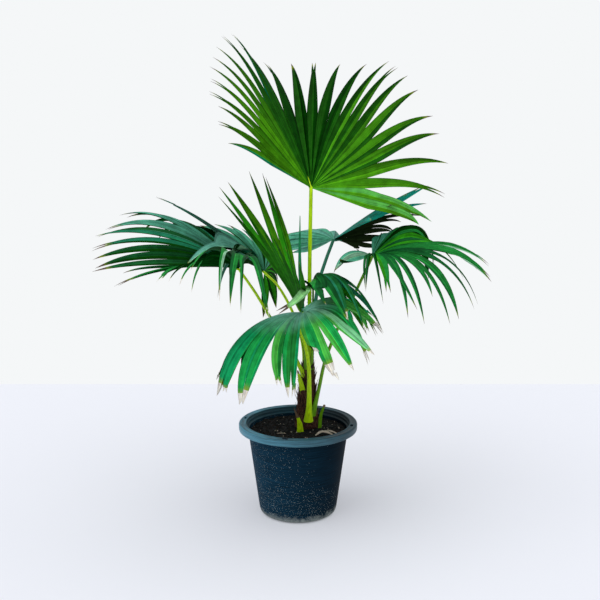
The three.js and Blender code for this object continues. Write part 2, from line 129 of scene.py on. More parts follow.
# One entry for each frond, in the words and values of the CAD model. The radii of the stalks and
# the feet of the front and right ones are this file's own. Segments are counted from the right-hand
# margin, and a number between two of them lies between their ribs. After the CAD values come those
# of the finer blade:
# - taper is how bluntly a segment narrows, and dead the share of each rib that is dead at its tip;
# - forks is the share of the segments whose tip is forked;
# - the bloom share is the share of the ribs that the wax coat covers, drawn pale partly in its own
#   colour and partly as a painted sheen of the sky;
# - splits says how far up two segments part, where not at the cut, by the first one's number;
# - strays says how far a segment's tip bends away from the rule, and bulges how far its middle
#   does, to the right and up, and also back where a third number is given;
# - broad says how much broader the free part of a segment is than the rule makes it;
# - twist says how many degrees the free part of a segment turns about its rib;
# - missing names segments that have been torn out, bleached the first one with a pale tip, whole
#   those with no dead tip, and dried gives the dead share of a segment that has its own;
# - zones gives the shades of a segment's two facets, and of its underside where that isn't the
#   frond's own, up to and with a segment's number, and looks names these shades. The two facets
#   mostly take a lit and a shaded shade, painted light and shade on the fold, and segments that
#   face away from the light take dark ones, painted shade.
FRONDS = [
    dict(
        PLAIN, name="top", segments=26, length=436, heading=85, rise=66, roll=57,
        fold_left=15, fold_right=75, dish=-19, spread_left=82, spread_right=103,
        crowd_left=0.76, crowd_right=0.95, end_left=0.62, end_right=0.69, lean=0.05,
        sag=0, droop=2.56, side_droop=-1, bow=-0.02, bend=0.5, cut=0.52,
        petiole=[(29, 21, 366), (29, 20, 430), (29, 20, 617), (32, 20, 819)], stalk=(7.2, 6),
        taper=1.5, dead=0.03, forks=0.3,
        splits={0: 0.85, 1: 0.42, 2: 0.42, 3: 0.5},
        strays={0: (-14, 8), 1: (-12, -30), 2: (0, -21), 3: (0, 0), 4: (-18, 15), 5: (-17, 5),
                6: (-26, 21), 7: (-15, 16), 8: (2, 6), 9: (34, -2), 10: (33, -21), 11: (20, -25),
                12: (7, -13), 13: (0, 8), 14: (0, 6), 15: (-20, -1), 16: (-7, 7), 17: (-5, -2),
                18: (1, -18), 19: (6, -21), 20: (6, -14), 21: (8, -9), 22: (0, 0), 23: (9, 9),
                24: (-5, 10), 25: (0, 0)},
        broad={0: 0.85, 1: 0.65},
        whole=(0, 1),
        zones=((1, 2, 5), (3, 0, 5), (6, 0, 1), (8, 1, 4), (9, 1, 0), (14, 1, 3), (17, 4, 1),
               (24, 5, 4), (25, 6, 5)),
        looks=("fresh", "moss", "lime", "deep", "fern", "leafy"), under="teal_under",
        stalk_look="lime_stalk",
    ),
    dict(
        PLAIN, name="small", segments=14, length=232, heading=-35, rise=30, roll=-32,
        fold_left=-3, fold_right=-10, dish=-6, spread_left=79, spread_right=100,
        crowd_left=0.83, crowd_right=1.33, end_left=0.6, end_right=0.63, lean=0.06,
        sag=1.07, droop=0, side_droop=-1, bow=-0.66, bend=0.25, cut=0.5,
        petiole=[(33, 11, 366), (37, 4, 450), (37, -4, 525), (37, -10, 597)], stalk=(4.6, 4),
        taper=2, dead=0.06, forks=0.5,
        splits={0: 0.12, 1: 0.12, 4: 0.85, 5: 0.4, 6: 0.36, 7: 0.4, 8: 0.36, 9: 0.4, 10: 0.4},
        strays={0: (-12, 9, -70), 2: (-12, 9, -70), 3: (32, 12), 4: (36, -22), 5: (-3, -20),
                6: (3, -47), 7: (22, -43), 8: (0, -17), 9: (0, 0), 11: (0, 0)},
        bulges={0: (14, -2, -115), 2: (14, -2, -115), 3: (0, 0), 5: (0, 6), 6: (0, 12),
                8: (0, 12), 10: (0, 0)},
        broad={1: 3.7, 3: 0.6, 6: 0.9, 7: 0.7, 8: 0.6, 9: 0.8},
        twist={1: -65},
        missing=(0, 2, 12, 13), bleached=2, dried={1: 0.2},
        zones=((2, 2, 2, 2), (4, 0, 1), (5, 0, 5), (7, 0, 5, 0), (9, 3, 0, 5), (11, 4, 1, 4),
               (13, 3, 0)),
        looks=("bottle", "clover", "pale", "deep", "grass", "teal"),
        stalk_look="olive_stalk",
    ),
    dict(
        PLAIN, name="young", segments=11, length=363, heading=198, rise=54, roll=-56,
        fold_left=58, fold_right=-8, dish=11, spread_left=55, spread_right=34,
        crowd_left=0.94, crowd_right=0.9, end_left=0.91, end_right=0.96, lean=-0.04,
        sag=0, droop=0, side_droop=-0.29, bow=-0.26, bend=0.63, cut=0.5,
        petiole=[(20, 12, 366), (18, 8, 420), (7, 0, 515)], stalk=(5, 4.4),
        taper=1.6, dead=0.03, forks=0.1,
        splits={0: 0.62, 3: 0.6},
        strays={0: (-14, 5), 1: (14, -1), 2: (16, 2), 3: (-5, -8), 4: (1, 17), 5: (-26, 10),
                6: (0, 0)},
        zones=((10, 0, 1),),
        looks=("grass", "leafy"), under="herb", stalk_look="olive_stalk",
    ),
    dict(
        PLAIN, name="front", segments=22, length=271, heading=280, rise=4, roll=63,
        fold_left=-38, fold_right=75, dish=23, spread_left=150, spread_right=150,
        crowd_left=1.19, crowd_right=1.23, end_left=0.8, end_right=1.17, lean=-0.1,
        sag=1.7, droop=0, side_droop=0, bow=-0.62, bend=0.39, cut=0.5,
        petiole=[(26, -6, 236), (28, -17, 300), (26, -20, 387), (17, -35, 441), (5, -50, 489),
                 (14, -65, 525)], stalk=(8.5, 4.4),
        taper=2.6, dead=0.07, forks=0.5, bloom=0.45,
        splits={0: 0.8, 1: 0.8, 2: 0.85, 3: 0.76, 4: 0.8, 5: 0.58, 6: 0.93, 7: 0.45, 8: 0.62,
                9: 0.6, 10: 0.4, 11: 0.8, 12: 0.48, 13: 0.48, 14: 0.6, 15: 0.42, 16: 0.6},
        strays={0: (0, 0), 1: (-20, 0), 2: (0, 0), 3: (3, 13), 4: (0, -19), 5: (0, 0), 6: (2, -22),
                7: (-28, -17), 8: (12, 25), 9: (-7, -1), 10: (-30, 1), 11: (1, 96),
                12: (12, 8), 13: (14, -2), 14: (22, 2), 15: (-23, -52), 16: (-11, -10),
                17: (-40, -30), 18: (0, 0)},
        bulges={0: (0, -14), 6: (0, -14), 8: (0, -9), 10: (0, 0), 13: (0, 0), 14: (0, -4),
                15: (0, -12), 16: (0, 0)},
        broad={13: 1.1, 14: 1.4},
        bleached=0,
        zones=((3, 1, 0), (5, 0, 1), (7, 1, 0), (8, 4, 2), (9, 4, 0), (10, 1, 4), (11, 0, 2),
               (13, 2, 0), (14, 3, 2), (15, 0, 4, 0), (17, 2, 0, 2), (21, 0, 1, 1)),
        looks=("emerald", "jade", "meadow", "mint", "clover"), stalk_look="lime_stalk",
    ),
    dict(
        PLAIN, name="right", segments=26, length=312, heading=-21, rise=-8, roll=16,
        fold_left=2, fold_right=15, dish=32, spread_left=105, spread_right=124,
        crowd_left=0.95, crowd_right=0.91, end_left=0.48, end_right=0.57, lean=0.14,
        sag=1.63, droop=1.64, side_droop=-0.97, bow=0.28, bend=0.25, cut=0.45,
        petiole=[(34, 4, 250), (43, 2, 280), (53, 8, 322), (66, 15, 381), (93, 20, 455),
                 (130, 20, 534), (184, 20, 652)], stalk=(9, 7),
        taper=2.1, dead=0.04, forks=0.25,
        splits={0: 0.8, 1: 0.8, 2: 0.25, 3: 0.25, 5: 0.3, 6: 0.36, 7: 0.38, 8: 0.6, 9: 0.38,
                10: 0.4, 11: 0.42, 12: 0.44, 13: 0.42, 14: 0.45, 15: 0.42, 16: 0.6, 20: 0.42,
                21: 0.5, 22: 0.7, 23: 0.8},
        strays={0: (11, 3), 1: (0, 16), 2: (-1, 53), 4: (20, 0), 5: (0, 0), 6: (17, -20),
                7: (4, 12), 8: (43, -21), 9: (-5, -35), 10: (3, -43), 11: (-11, 24), 12: (0, -37),
                13: (-10, -25), 14: (-4, -11), 15: (-15, -16), 16: (2, 30), 17: (9, -2),
                18: (15, 16), 19: (10, -19), 20: (11, -69), 21: (-29, -62), 22: (6, -100),
                23: (20, -10), 24: (8, 0)},
        bulges={0: (0, 0), 1: (0, -12), 2: (0, -28), 4: (0, 0), 15: (0, 0), 16: (0, -10),
                17: (0, -12), 18: (0, -14), 19: (0, -18), 20: (2, -10), 21: (20, 20), 22: (30, 26),
                23: (22, 14), 24: (8, 0), 25: (0, 0)},
        broad={6: 0.8, 7: 2, 8: 1.1, 9: 1.1, 12: 0.8, 14: 0.5, 15: 0.5, 16: 0.6, 18: 0.8, 20: 0.5},
        twist={16: 40, 17: 35, 18: 45, 21: 40, 8: 15, 9: 20, 13: 15},
        missing=(3,), whole=(21, 22, 23, 24, 25),
        zones=((2, 2, 4), (6, 3, 0), (7, 1, 5), (10, 0, 5), (13, 5, 0), (15, 0, 3), (16, 5, 0),
               (18, 5, 2), (20, 1, 0), (22, 3, 5), (25, 4, 0)),
        looks=("bottle", "grass", "sage", "deep", "sea", "clover"), stalk_look="olive_stalk",
    ),
    dict(
        PLAIN, name="left", segments=25, length=363, heading=220, rise=51, roll=-5,
        fold_left=38, fold_right=54, dish=-29, spread_left=59, spread_right=75,
        crowd_left=0.76, crowd_right=1.05, end_left=0.97, end_right=0.76, lean=-0.03,
        sag=0.55, droop=0.55, side_droop=3.7, bow=-0.13, bend=0.3, cut=0.5,
        petiole=[(18, 15, 345), (-32, 0, 449), (-67, -10, 502), (-105, -20, 568),
                 (-143, -30, 626)], stalk=(7, 5.6),
        taper=2, dead=0.05, forks=0.2,
        splits={3: 0.62, 6: 0.6, 11: 0.62, 15: 0.6, 22: 0.6},
        strays={3: (0, 0), 4: (-2, 23), 5: (7, 21), 6: (-4, -12), 7: (16, -6), 8: (0, -12),
                9: (2, 6), 10: (-3, -5), 11: (-2, -5), 12: (0, 0), 13: (-14, 13), 14: (27, 8),
                15: (-13, -31), 16: (50, -24), 17: (43, -22), 18: (36, -24), 19: (31, -28),
                20: (0, 30), 21: (28, -19), 22: (20, -15), 23: (14, -13), 24: (44, -6)},
        bulges={0: (0, 12), 2: (0, 12), 3: (0, 8), 4: (0, 0), 10: (0, 0), 12: (0, -6), 13: (0, -14),
                14: (0, -20), 15: (0, -24), 16: (0, -24), 18: (0, -16), 20: (0, 6), 21: (0, 14),
                22: (14, 6), 23: (6, 6), 24: (14, 12)},
        broad={0: 1.2, 21: 0.5, 22: 0.9, 23: 0.5, 24: 0.8},
        twist={0: 60},
        bleached=16,
        zones=((0, 4, 2), (3, 0, 1), (8, 1, 2), (10, 3, 0), (14, 3, 1), (19, 3, 5), (21, 4, 5, 1),
               (24, 1, 5, 1)),
        looks=("teal", "spruce", "reed", "deep", "sage", "clover"), stalk_look="lime_stalk",
    ),
    dict(
        PLAIN, name="back_left", segments=20, length=262, heading=158, rise=81, roll=26,
        fold_left=31, fold_right=59, dish=-27, spread_left=48, spread_right=120,
        crowd_left=1.18, crowd_right=1, end_left=0.62, end_right=0.56, lean=0.38,
        sag=0.75, droop=0, side_droop=2.95, bow=-0.43, bend=0.36, cut=0.5,
        petiole=[(18, 28, 352), (13, 40, 420), (-12, 62, 500), (-54, 82, 572),
                 (-88, 100, 602)], stalk=(7, 5.6),
        taper=1.9, dead=0.05, forks=0.3,
        splits={6: 0.7, 8: 0.7, 10: 0.7, 12: 0.7},
        strays={0: (-23, -2), 1: (4, 5), 2: (0, 0), 9: (0, 0), 11: (0, -10), 12: (0, -12),
                13: (0, 0), 14: (30, -10), 15: (53, -42), 16: (-2, 18), 17: (47, -118, -90),
                18: (54, -128, -90), 19: (-8, -30)},
        bulges={0: (-19, 0), 1: (4, 0), 2: (0, 0), 11: (0, 0), 13: (0, -12), 14: (0, -12),
                16: (0, -20), 16.5: (0, -12), 17: (4, -20, -50), 18: (-6, -8, -50), 19: (-24, 4)},
        broad={16: 0.8, 17: 0.4, 18: 0.5},
        bleached=18,
        zones=((2, 4, 3), (5, 3, 4), (14, 3, 2), (15, 1, 1), (16, 0, 5, 0), (18, 0, 5),
               (19, 3, 1, 3)),
        looks=("grey_teal", "teal", "sea", "deep", "grass", "sage"), stalk_look="lime_stalk",
    ),
    dict(
        PLAIN, name="back", segments=22, length=297, heading=56, rise=12, roll=-19,
        fold_left=36, fold_right=28, dish=-14, spread_left=99, spread_right=112,
        crowd_left=0.8, crowd_right=1.1, end_left=0.45, end_right=0.96, lean=0.02,
        sag=0.81, droop=0.12, side_droop=0.58, bow=0.62, bend=0.35, cut=0.55,
        petiole=[(31, 30, 360), (38, 52, 440), (51, 110, 560), (71, 140, 623), (94, 170, 680)],
        stalk=(7.4, 6.2),
        taper=1.9, dead=0.04, forks=0.2,
        splits={1: 0.7, 3: 0.62, 5: 0.45, 6: 0.38, 7: 0.38, 8: 0.38, 9: 0.42, 10: 0.45, 15: 0.8,
                16: 0.85, 17: 0.85, 18: 0.85, 19: 0.8},
        strays={4: (0, 0), 5: (-8, -39), 6: (-7, -56), 7: (-55, -49), 8: (-56, -46), 9: (-34, -14),
                10: (0, 0), 11: (0, 0), 12: (-12, -25), 13: (0, 0), 14: (0, 0), 15: (0, 4),
                17: (0, 4), 19: (8, -10), 20: (12, -20), 21: (11, -22)},
        bulges={9: (0, 0), 11: (0, -15), 12: (0, -14), 13: (0, 4), 14: (0, 10), 15: (0, 10),
                17: (0, 0), 19: (0, -7), 20: (0, -14), 21: (0, -22)},
        zones=((5, 4, 4, 4), (8, 3, 1), (12, 3, 3), (15, 0, 2), (21, 0, 2)),
        looks=("grey_teal", "teal", "sea", "night", "lagoon"), under="night_under",
        stalk_look="teal_stalk",
    ),
]

# The unopened leaf and the old leaf bases: path and radii as in the CAD model, and the looks.
SHOOTS = [
    dict(
        name="spear_leaf", path=[(24, 25, 372), (16, 20, 470), (5, 12, 620), (5, 10, 752)],
        radii=(4, 5, 4.5, 0.8), flat=0.6, facing=(0, -1, 0.2), look="teal", dead=1.1,
        teeth=0, slot="leaf",
    ),
    dict(
        name="leaf_base_left", path=[(14, 6, 300), (8, 0, 330), (-1, -3, 366)],
        radii=(9, 7, 2), flat=0.5, facing=(-0.5, -1, 0), look="lime_stalk", dead=0.86,
        teeth=1, slot="petiole",
    ),
    dict(
        name="leaf_base_front", path=[(6, -22, 210), (3, -26, 240), (-10, -27, 274)],
        radii=(9.5, 7, 3.2, 0.8), flat=0.55, facing=(-0.3, -1, 0), look="lime_stalk", dead=0.62,
        teeth=0, slot="petiole",
    ),
    dict(
        name="leaf_base_right", path=[(55, 12, 210), (58, 8, 245), (67, 2, 275)],
        radii=(5.5, 4.5, 3), flat=0.7, facing=(0.3, -1, 0), look="olive_stalk", dead=0.9,
        teeth=0, slot="petiole",
    ),
]

# The camera stands in front of the plant and looks down at it a little: metres and degrees.
CAMERA = dict(place=(0.005, -1.956, 0.864), tilt=9.27, lens=48, sensor=36)
# The floor ends a little behind the pot, so that its far edge is a level line: metres.
FLOOR = dict(reach=3.2, back=1.21, level=-0.0005)
# Each light's name, direction, strength and softness in degrees.
LIGHTS = (
    ("window", (0.75, 0.35, -0.75), 0.7, 60),
    ("ceiling", (-0.1, 0.2, -1.0), 1.7, 90),
)

# ------------------------------------------------------------------ colours


def linear(code):
    """A six-digit sRGB hex code as linear red, green and blue."""
    values = [int(code[i:i + 2], 16) / 255 for i in (1, 3, 5)]
    return tuple(v / 12.92 if v <= 0.04045 else ((v + 0.055) / 1.055) ** 2.4 for v in values)


def tint(name, code, description):
    """A colour property whose default is an sRGB hex code."""
    return FloatVectorProperty(
        name=name, description=description, subtype="COLOR", size=3, min=0, max=1,
        default=linear(code))


# ------------------------------------------------------------------ settings a user would change


class PalmSizes(PropertyGroup):
    """Sizes of the fine shapes that the CAD model leaves plain."""

    pleat: FloatProperty(
        name="Pleat depth", description="Drop of a segment's rib, as a share of its half width",
        default=0.42, min=0.1, max=0.8)
    leaf: FloatProperty(
        name="Leaf thickness", description="Thickness at the rib, as a share of half a segment",
        default=0.12, min=0.02, max=0.5)
    tooth: FloatProperty(
        name="Tooth length", description="Length of a thorn on a stalk's margin",
        default=2.4 * MM, min=0, max=0.01, unit="LENGTH", subtype="DISTANCE")
    tooth_spacing: FloatProperty(
        name="Tooth spacing", description="Distance between two thorns on a margin",
        default=8 * MM, min=0.002, max=0.05, unit="LENGTH", subtype="DISTANCE")
    fibres: IntProperty(
        name="Fibres", description="Loose fibres for each square metre of trunk",
        default=26000, min=0, max=100000)
    crumbs: IntProperty(
        name="Crumbs", description="Soil crumbs for each square metre of soil",
        default=34000, min=0, max=100000)
    seed: IntProperty(name="Seed", description="Seed of everything dealt out by chance", default=7)


class PalmColours(PropertyGroup):
    """Colours of the leaves, stalks, soil, pot and room."""

    # Most leaf colours are lit and shaded pairs for the two facets of a fold: fresh, leafy, grass,
    # clover and emerald paint light, moss, fern, deep, night, bottle and spruce paint shade, and
    # mint, sea, reed and the grey teal paint sheen. Lime is the outer leaves' paler green,
    # lightened further with painted sheen.
    fresh: tint("Fresh leaf", "#3f8412", "Lit facets of the top frond")
    leafy: tint("Leafy green", "#42860e", "Lit facets of the top frond's far half")
    fern: tint("Fern leaf", "#2f6a0c", "Shaded facets of the top frond's far half")
    moss: tint("Moss leaf", "#17500a", "Shaded facets of the top frond")
    lime: tint("Lime leaf", "#5cb44e", "Pale outer segments of the top frond")
    grass: tint("Grass leaf", "#2f9016", "Lit facets of the young frond")
    pale: tint("Pale leaf", "#8ccf86", "Pale segment of the small frond")
    deep: tint("Deep leaf", "#053802", "Dark facets")
    night: tint("Night leaf", "#0a2410", "Facets in the shade of the back frond")
    bottle: tint("Bottle leaf", "#165e2c", "Shaded facets of the older fronds")
    clover: tint("Clover leaf", "#1f7e34", "Lit facets of the right-hand frond")
    emerald: tint("Emerald leaf", "#1ea04c", "Lit facets of the front frond")
    jade: tint("Jade leaf", "#149a5c", "Bluer facets of the front frond")
    meadow: tint("Meadow leaf", "#48ac44", "Yellower facets of the front frond")
    mint: tint("Mint leaf", "#78c48c", "Facets of the front frond that catch the sky")
    # Painted highlight: the pale of these facets is sheen drawn into the colour.
    sea: tint("Sea leaf", "#50a082", "Glossy, pale facets of the older fronds")
    sage: tint("Sage leaf", "#84b294", "Pale, dull facets of arching segments")
    spruce: tint("Spruce leaf", "#165228", "Inner parts of the left frond")
    reed: tint("Reed leaf", "#458a72", "Sheen of the left frond")
    teal: tint("Teal leaf", "#237a58", "Upper face of the left frond")
    lagoon: tint("Lagoon leaf", "#169a86", "Bluest facets of the back frond")
    # Painted highlight: the grey sheen of the back fronds' upper face is drawn into this colour.
    grey_teal: tint("Grey teal leaf", "#5a9a88", "Dulled upper face of the back fronds")
    herb: tint("Herb underside", "#246e10", "Underside of the young frond")
    deep_under: tint("Deep underside", "#053a0e", "Shaded underside of a frond")
    night_under: tint("Night underside", "#141f0e", "Underside of the back frond")
    teal_under: tint("Teal underside", "#0c7450", "Underside of the top frond")
    # Painted sheen: the wax coat near the stalk is drawn this pale, partly its own colour and
    # partly the sky's reflection.
    bloom: tint("Leaf bloom", "#98d8cc", "Waxy bloom at the middle of a frond")
    yellowed: tint("Yellowed leaf", "#9aa030", "Leaf on its way to a dead tip")
    dead: tint("Dead leaf", "#f0dfd2", "Dead, bleached tip of a segment")
    husk: tint("Husk", "#6e5e50", "Dry, dark tip of a thin segment")
    lime_stalk: tint("Lime stalk", "#bce80c", "Bright stalks")
    olive_stalk: tint("Olive stalk", "#6aa414", "Older stalks")
    teal_stalk: tint("Teal stalk", "#1f7358", "Stalk of the back frond")
    thorn: tint("Thorn", "#1c120c", "Thorns on the stalks' margins")
    bark: tint("Trunk sheath", "#4a2c22", "Fibrous leaf sheaths of the trunk")
    bark_dark: tint("Trunk hollow", "#1a0f0c", "Gaps between the trunk's fibres")
    fibre: tint("Loose fibre", "#7a5a44", "Loose fibres on the trunk")
    soil: tint("Soil", "#0a0e0e", "Moist soil")
    crumb: tint("Soil crumb", "#241a14", "Crumbs and bark chips")
    pebble: tint("Pebble", "#b4a898", "Pale grit and dry roots")
    pot: tint("Pot body", "#0c2838", "Body of the pot")
    rim: tint("Pot rim", "#3a6a7b", "Scuffed rim of the pot")
    scale: tint("Limescale", "#ccd6d0", "Lime and dried splashes on the pot")
    floor: tint("Floor", "#e4e6ed", "The floor that the pot stands on")
    wall: tint("Background", "#f5f7f8", "The pale room behind")


# ------------------------------------------------------------------ objects and meshes


def linked(name, mesh):
    """A new object for a mesh, in the scene."""
    mesh.name = name
    obj = bpy.data.objects.new(name, mesh)
    bpy.context.collection.objects.link(obj)
    return obj


def settle(obj, slot, *nodes):
    """Makes a piece ride on the plant and stand for CAD nodes. Its slot is not used."""
    if not obj.data.polygons:
        raise RuntimeError(obj.name + " has no faces")
    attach(obj, BODY)
    if nodes:
        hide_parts(*nodes)


def unit(vectors):
    """The vectors at length one, along their last axis."""
    return vectors / np.linalg.norm(vectors, axis=-1, keepdims=True)


def tangents(points):
    """The direction of a line at each of its points."""
    return unit(np.gradient(points, axis=0))


def run_lengths(points):
    """The length of a line from its start to each of its points."""
    return np.cumsum([0, *np.linalg.norm(np.diff(points, axis=0), axis=1)])


def turns(count):
    """Even angles round a circle."""
    return [2 * math.pi * j / count for j in range(count)]


def smooth_line(points, count):
    """Points at even steps along a centripetal Catmull-Rom curve through the given points."""
    points = np.array(points, float)
    ends = [2 * points[0] - points[1], *points, 2 * points[-1] - points[-2]]
    dense = []
    for four in zip(ends, ends[1:], ends[2:], ends[3:]):
        gaps = [np.linalg.norm(q - p) ** 0.5 for p, q in zip(four, four[1:])]
        knots = np.cumsum([0] + gaps)
        for t in np.linspace(knots[1], knots[2], 24, endpoint=False):
            # Four points blend to three, then to two, then to the one on the curve.
            level = list(four)
            for low, high in ((0, 1), (0, 2), (1, 2)):
                level = [
                    ((knots[i + high] - t) * level[i] + (t - knots[i + low]) * level[i + 1])
                    / (knots[i + high] - knots[i + low])
                    for i in range(len(level) - 1)
                ]
            dense.append(level[0])
    dense = np.array([*dense, points[-1]])
    lengths = run_lengths(dense)
    even = np.linspace(0, lengths[-1], count)
    return np.stack([np.interp(even, lengths, dense[:, k]) for k in range(3)], axis=1)


# What a chain's points carry into the trees, besides their places.
STRIP_VALUES = {
    "half": "FLOAT", "along": "FLOAT", "up": "FLOAT_VECTOR", "facet_a": "INT", "facet_b": "INT",
    "facet_under": "INT", "pale_tip": "INT", "dead": "FLOAT", "waxy": "FLOAT", "wither": "FLOAT"}


def chain_mesh(name, chains):
    """Chains of points as one mesh of edges. Each chain is a dict with its points and half widths
    in millimetres, and its other values for each point or for the whole chain."""
    mesh = bpy.data.meshes.new(name)
    edges = []
    start = 0
    for chain in chains:
        count = len(chain["points"])
        edges += [(start + i, start + i + 1) for i in range(count - 1)]
        start += count
    mesh.from_pydata(np.concatenate([c["points"] for c in chains]) * MM, edges, [])
    for key, kind in STRIP_VALUES.items():
        flat = np.int32 if kind == "INT" else np.float32
        values = np.concatenate([
            np.broadcast_to(
                np.asarray(c.get(key, 0), flat),
                c["up"].shape if key == "up" else len(c["points"]))
            for c in chains])
        attribute = mesh.attributes.new(key, kind, "POINT")
        attribute.data.foreach_set(
            "vector" if kind == "FLOAT_VECTOR" else "value", np.ascontiguousarray(values).ravel())
    return mesh


def ring_mesh(name, rings):
    """A closed mesh through rings of points in millimetres, capped by a fan at each end."""
    mesh = bpy.data.meshes.new(name)
    count = len(rings[0])
    points = [tuple(c * MM for c in p) for ring in rings for p in ring]
    faces = []
    for i in range(len(rings) - 1):
        for j in range(count):
            a, b = i * count + j, i * count + (j + 1) % count
            faces.append((a, b, b + count, a + count))
    for first, turned in ((0, True), (len(points) - count, False)):
        hub = len(points)
        points.append(tuple(np.mean(points[first:first + count], axis=0)))
        for j in range(count):
            a, b = first + j, first + (j + 1) % count
            faces.append((hub, b, a) if turned else (hub, a, b))
    mesh.from_pydata(points, [], faces)
    mesh.shade_smooth()
    return mesh


# ------------------------------------------------------------------ nodes


def add(tree, kind, links=None, **settings):
    """A new node of a kind, with its settings, and values or links for its inputs by name."""
    made = tree.nodes.new(kind)
    for name, value in settings.items():
        setattr(made, name, value)
    for key, value in (links or {}).items():
        if isinstance(key, int):
            socket = made.inputs[key]
        else:
            socket = next(s for s in made.inputs if s.name == key and s.enabled)
        if isinstance(value, NodeSocket):
            tree.links.new(value, socket)
        else:
            socket.default_value = value
    return made


def maths(tree, operation, *values, **settings):
    """The result of an operation on one to three values."""
    return add(tree, "ShaderNodeMath", dict(enumerate(values)), operation=operation,
               **settings).outputs[0]


def scaled(tree, vector, factor):
    """A vector or a colour times a factor."""
    return add(tree, "ShaderNodeVectorMath", {0: vector, "Scale": factor},
               operation="SCALE").outputs[0]


def compared(tree, first, operation, second, **settings):
    """Whether one value is greater than, less than or equal to another."""
    return add(tree, "FunctionNodeCompare", {"A": first, "B": second}, **settings,
               operation=operation).outputs[0]


def switched(tree, where, no, yes, kind):
    """One of two values of a kind."""
    return add(tree, "GeometryNodeSwitch", {"Switch": where, "False": no, "True": yes},
               input_type=kind).outputs[0]


def mapped(tree, value, source, target=(0, 1)):
    """A value carried over from one range to another, and held inside it."""
    return add(tree, "ShaderNodeMapRange", {
        "Value": value, "From Min": source[0], "From Max": source[1], "To Min": target[0],
        "To Max": target[1]}).outputs["Result"]


def node_tree(name, inputs):
    """An empty Geometry Nodes tree with named inputs, its input node and its output node."""
    tree = bpy.data.node_groups.new(name, "GeometryNodeTree")
    tree.interface.new_socket(name="Geometry", in_out="INPUT", socket_type="NodeSocketGeometry")
    tree.interface.new_socket(name="Geometry", in_out="OUTPUT", socket_type="NodeSocketGeometry")
    for label, kind in inputs.items():
        tree.interface.new_socket(name=label, in_out="INPUT", socket_type="NodeSocket" + kind)
    return tree, add(tree, "NodeGroupInput").outputs, add(tree, "NodeGroupOutput").inputs


def grown(name, host, tree, values):
    """The plain mesh object that a tree makes of a host mesh, with its inputs by label."""
    obj = bpy.data.objects.new(name + "_host", host)
    bpy.context.collection.objects.link(obj)
    modifier = obj.modifiers.new("tree", "NODES")
    modifier.node_group = tree
    for item in tree.interface.items_tree:
        if item.in_out == "INPUT" and item.name in values:
            modifier[item.identifier] = values[item.name]
    bpy.context.view_layer.update()
    evaluated = obj.evaluated_get(bpy.context.evaluated_depsgraph_get())
    mesh = bpy.data.meshes.new_from_object(evaluated)
    bpy.data.objects.remove(obj)
    return linked(name, mesh)


def strips(tree, host):
    """The chains of a host mesh as curves, and their values by name."""
    name = {
        key: add(tree, "GeometryNodeInputNamedAttribute", {"Name": key}, data_type=kind)
        .outputs["Attribute"]
        for key, kind in STRIP_VALUES.items()}
    curves = add(tree, "GeometryNodeMeshToCurve", {"Mesh": host})
    curves = add(tree, "GeometryNodeSetCurveNormal", {
        "Curve": curves.outputs[0], "Normal": name["up"]}, mode="FREE")
    return curves.outputs[0], name


def swept(tree, curves, section, radius):
    """A section of radius one swept along curves, at a radius in metres."""
    return add(tree, "GeometryNodeCurveToMesh", {
        "Curve": curves, "Profile Curve": section, "Scale": radius,
        "Fill Caps": True}).outputs[0]


def creased(tree, shape, degrees):
    """A shape whose edges look sharp where they bend by more than an angle."""
    bent = add(tree, "GeometryNodeInputMeshEdgeAngle").outputs[0]
    sharp = compared(tree, bent, "GREATER_THAN", math.radians(degrees))
    return add(tree, "GeometryNodeSetShadeSmooth", {
        "Geometry": shape, "Selection": sharp, "Shade Smooth": False}, domain="EDGE").outputs[0]


def real(tree, shape):
    """A shape whose instances are made real."""
    return add(tree, "GeometryNodeRealizeInstances", {"Geometry": shape}).outputs[0]


def painted(tree, shape, material, where=True):
    """A shape with a material, all over or where a condition holds."""
    return add(tree, "GeometryNodeSetMaterial", {
        "Geometry": shape, "Selection": where, "Material": material}).outputs[0]


# ------------------------------------------------------------------ materials


def surface(name, **sockets):
    """A new material, its tree and its shader, with uniform values on the shader's sockets."""
    material = bpy.data.materials.new(name)
    material.use_nodes = True
    tree = material.node_tree
    tree.nodes.clear()
    shader = add(tree, "ShaderNodeBsdfPrincipled")
    add(tree, "ShaderNodeOutputMaterial", {"Surface": shader.outputs[0]})
    for socket, value in sockets.items():
        shader.inputs[socket.replace("_", " ")].default_value = value
    return material, tree, shader


def opaque(colour):
    """Red, green and blue with full alpha."""
    return (*colour, 1.0)


def shaded(colour, share):
    """A colour made darker, or lighter for a share over 1."""
    return tuple(min(1.0, c * share) for c in colour)


def on_object(tree):
    """The place of a spot on its object, in metres."""
    return add(tree, "ShaderNodeTexCoord").outputs["Object"]


def stored(tree, key):
    """A value that each spot of the mesh carries."""
    return add(tree, "ShaderNodeAttribute", attribute_name=key).outputs["Fac"]


def stretched(tree, place, scale, turn=(0, 0, 0)):
    """A place turned and scaled. A pattern is drawn out along an axis with a small scale."""
    return add(tree, "ShaderNodeMapping", {
        "Vector": place, "Rotation": turn, "Scale": scale}).outputs[0]


def grains(tree, place, size, detail, roughness=0.5):
    """Noise with grains of a size in metres."""
    return add(tree, "ShaderNodeTexNoise", {
        "Vector": place, "Scale": 1 / size, "Detail": detail,
        "Roughness": roughness}).outputs["Fac"]


def ramp(tree, factor, *stops):
    """Colours over a factor, from stops of a position and a colour in rising order."""
    made = add(tree, "ShaderNodeValToRGB", {"Fac": factor})
    elements = made.color_ramp.elements
    for element, (position, colour) in zip(elements, (stops[0], stops[-1])):
        element.position = position
        element.color = opaque(colour)
    for position, colour in stops[1:-1]:
        elements.new(position).color = opaque(colour)
    return made.outputs["Color"]


def mixed(tree, factor, under, over, **settings):
    """One colour over another."""
    return add(tree, "ShaderNodeMix", {"Factor": factor, "A": under, "B": over},
               data_type="RGBA", **settings).outputs[2]


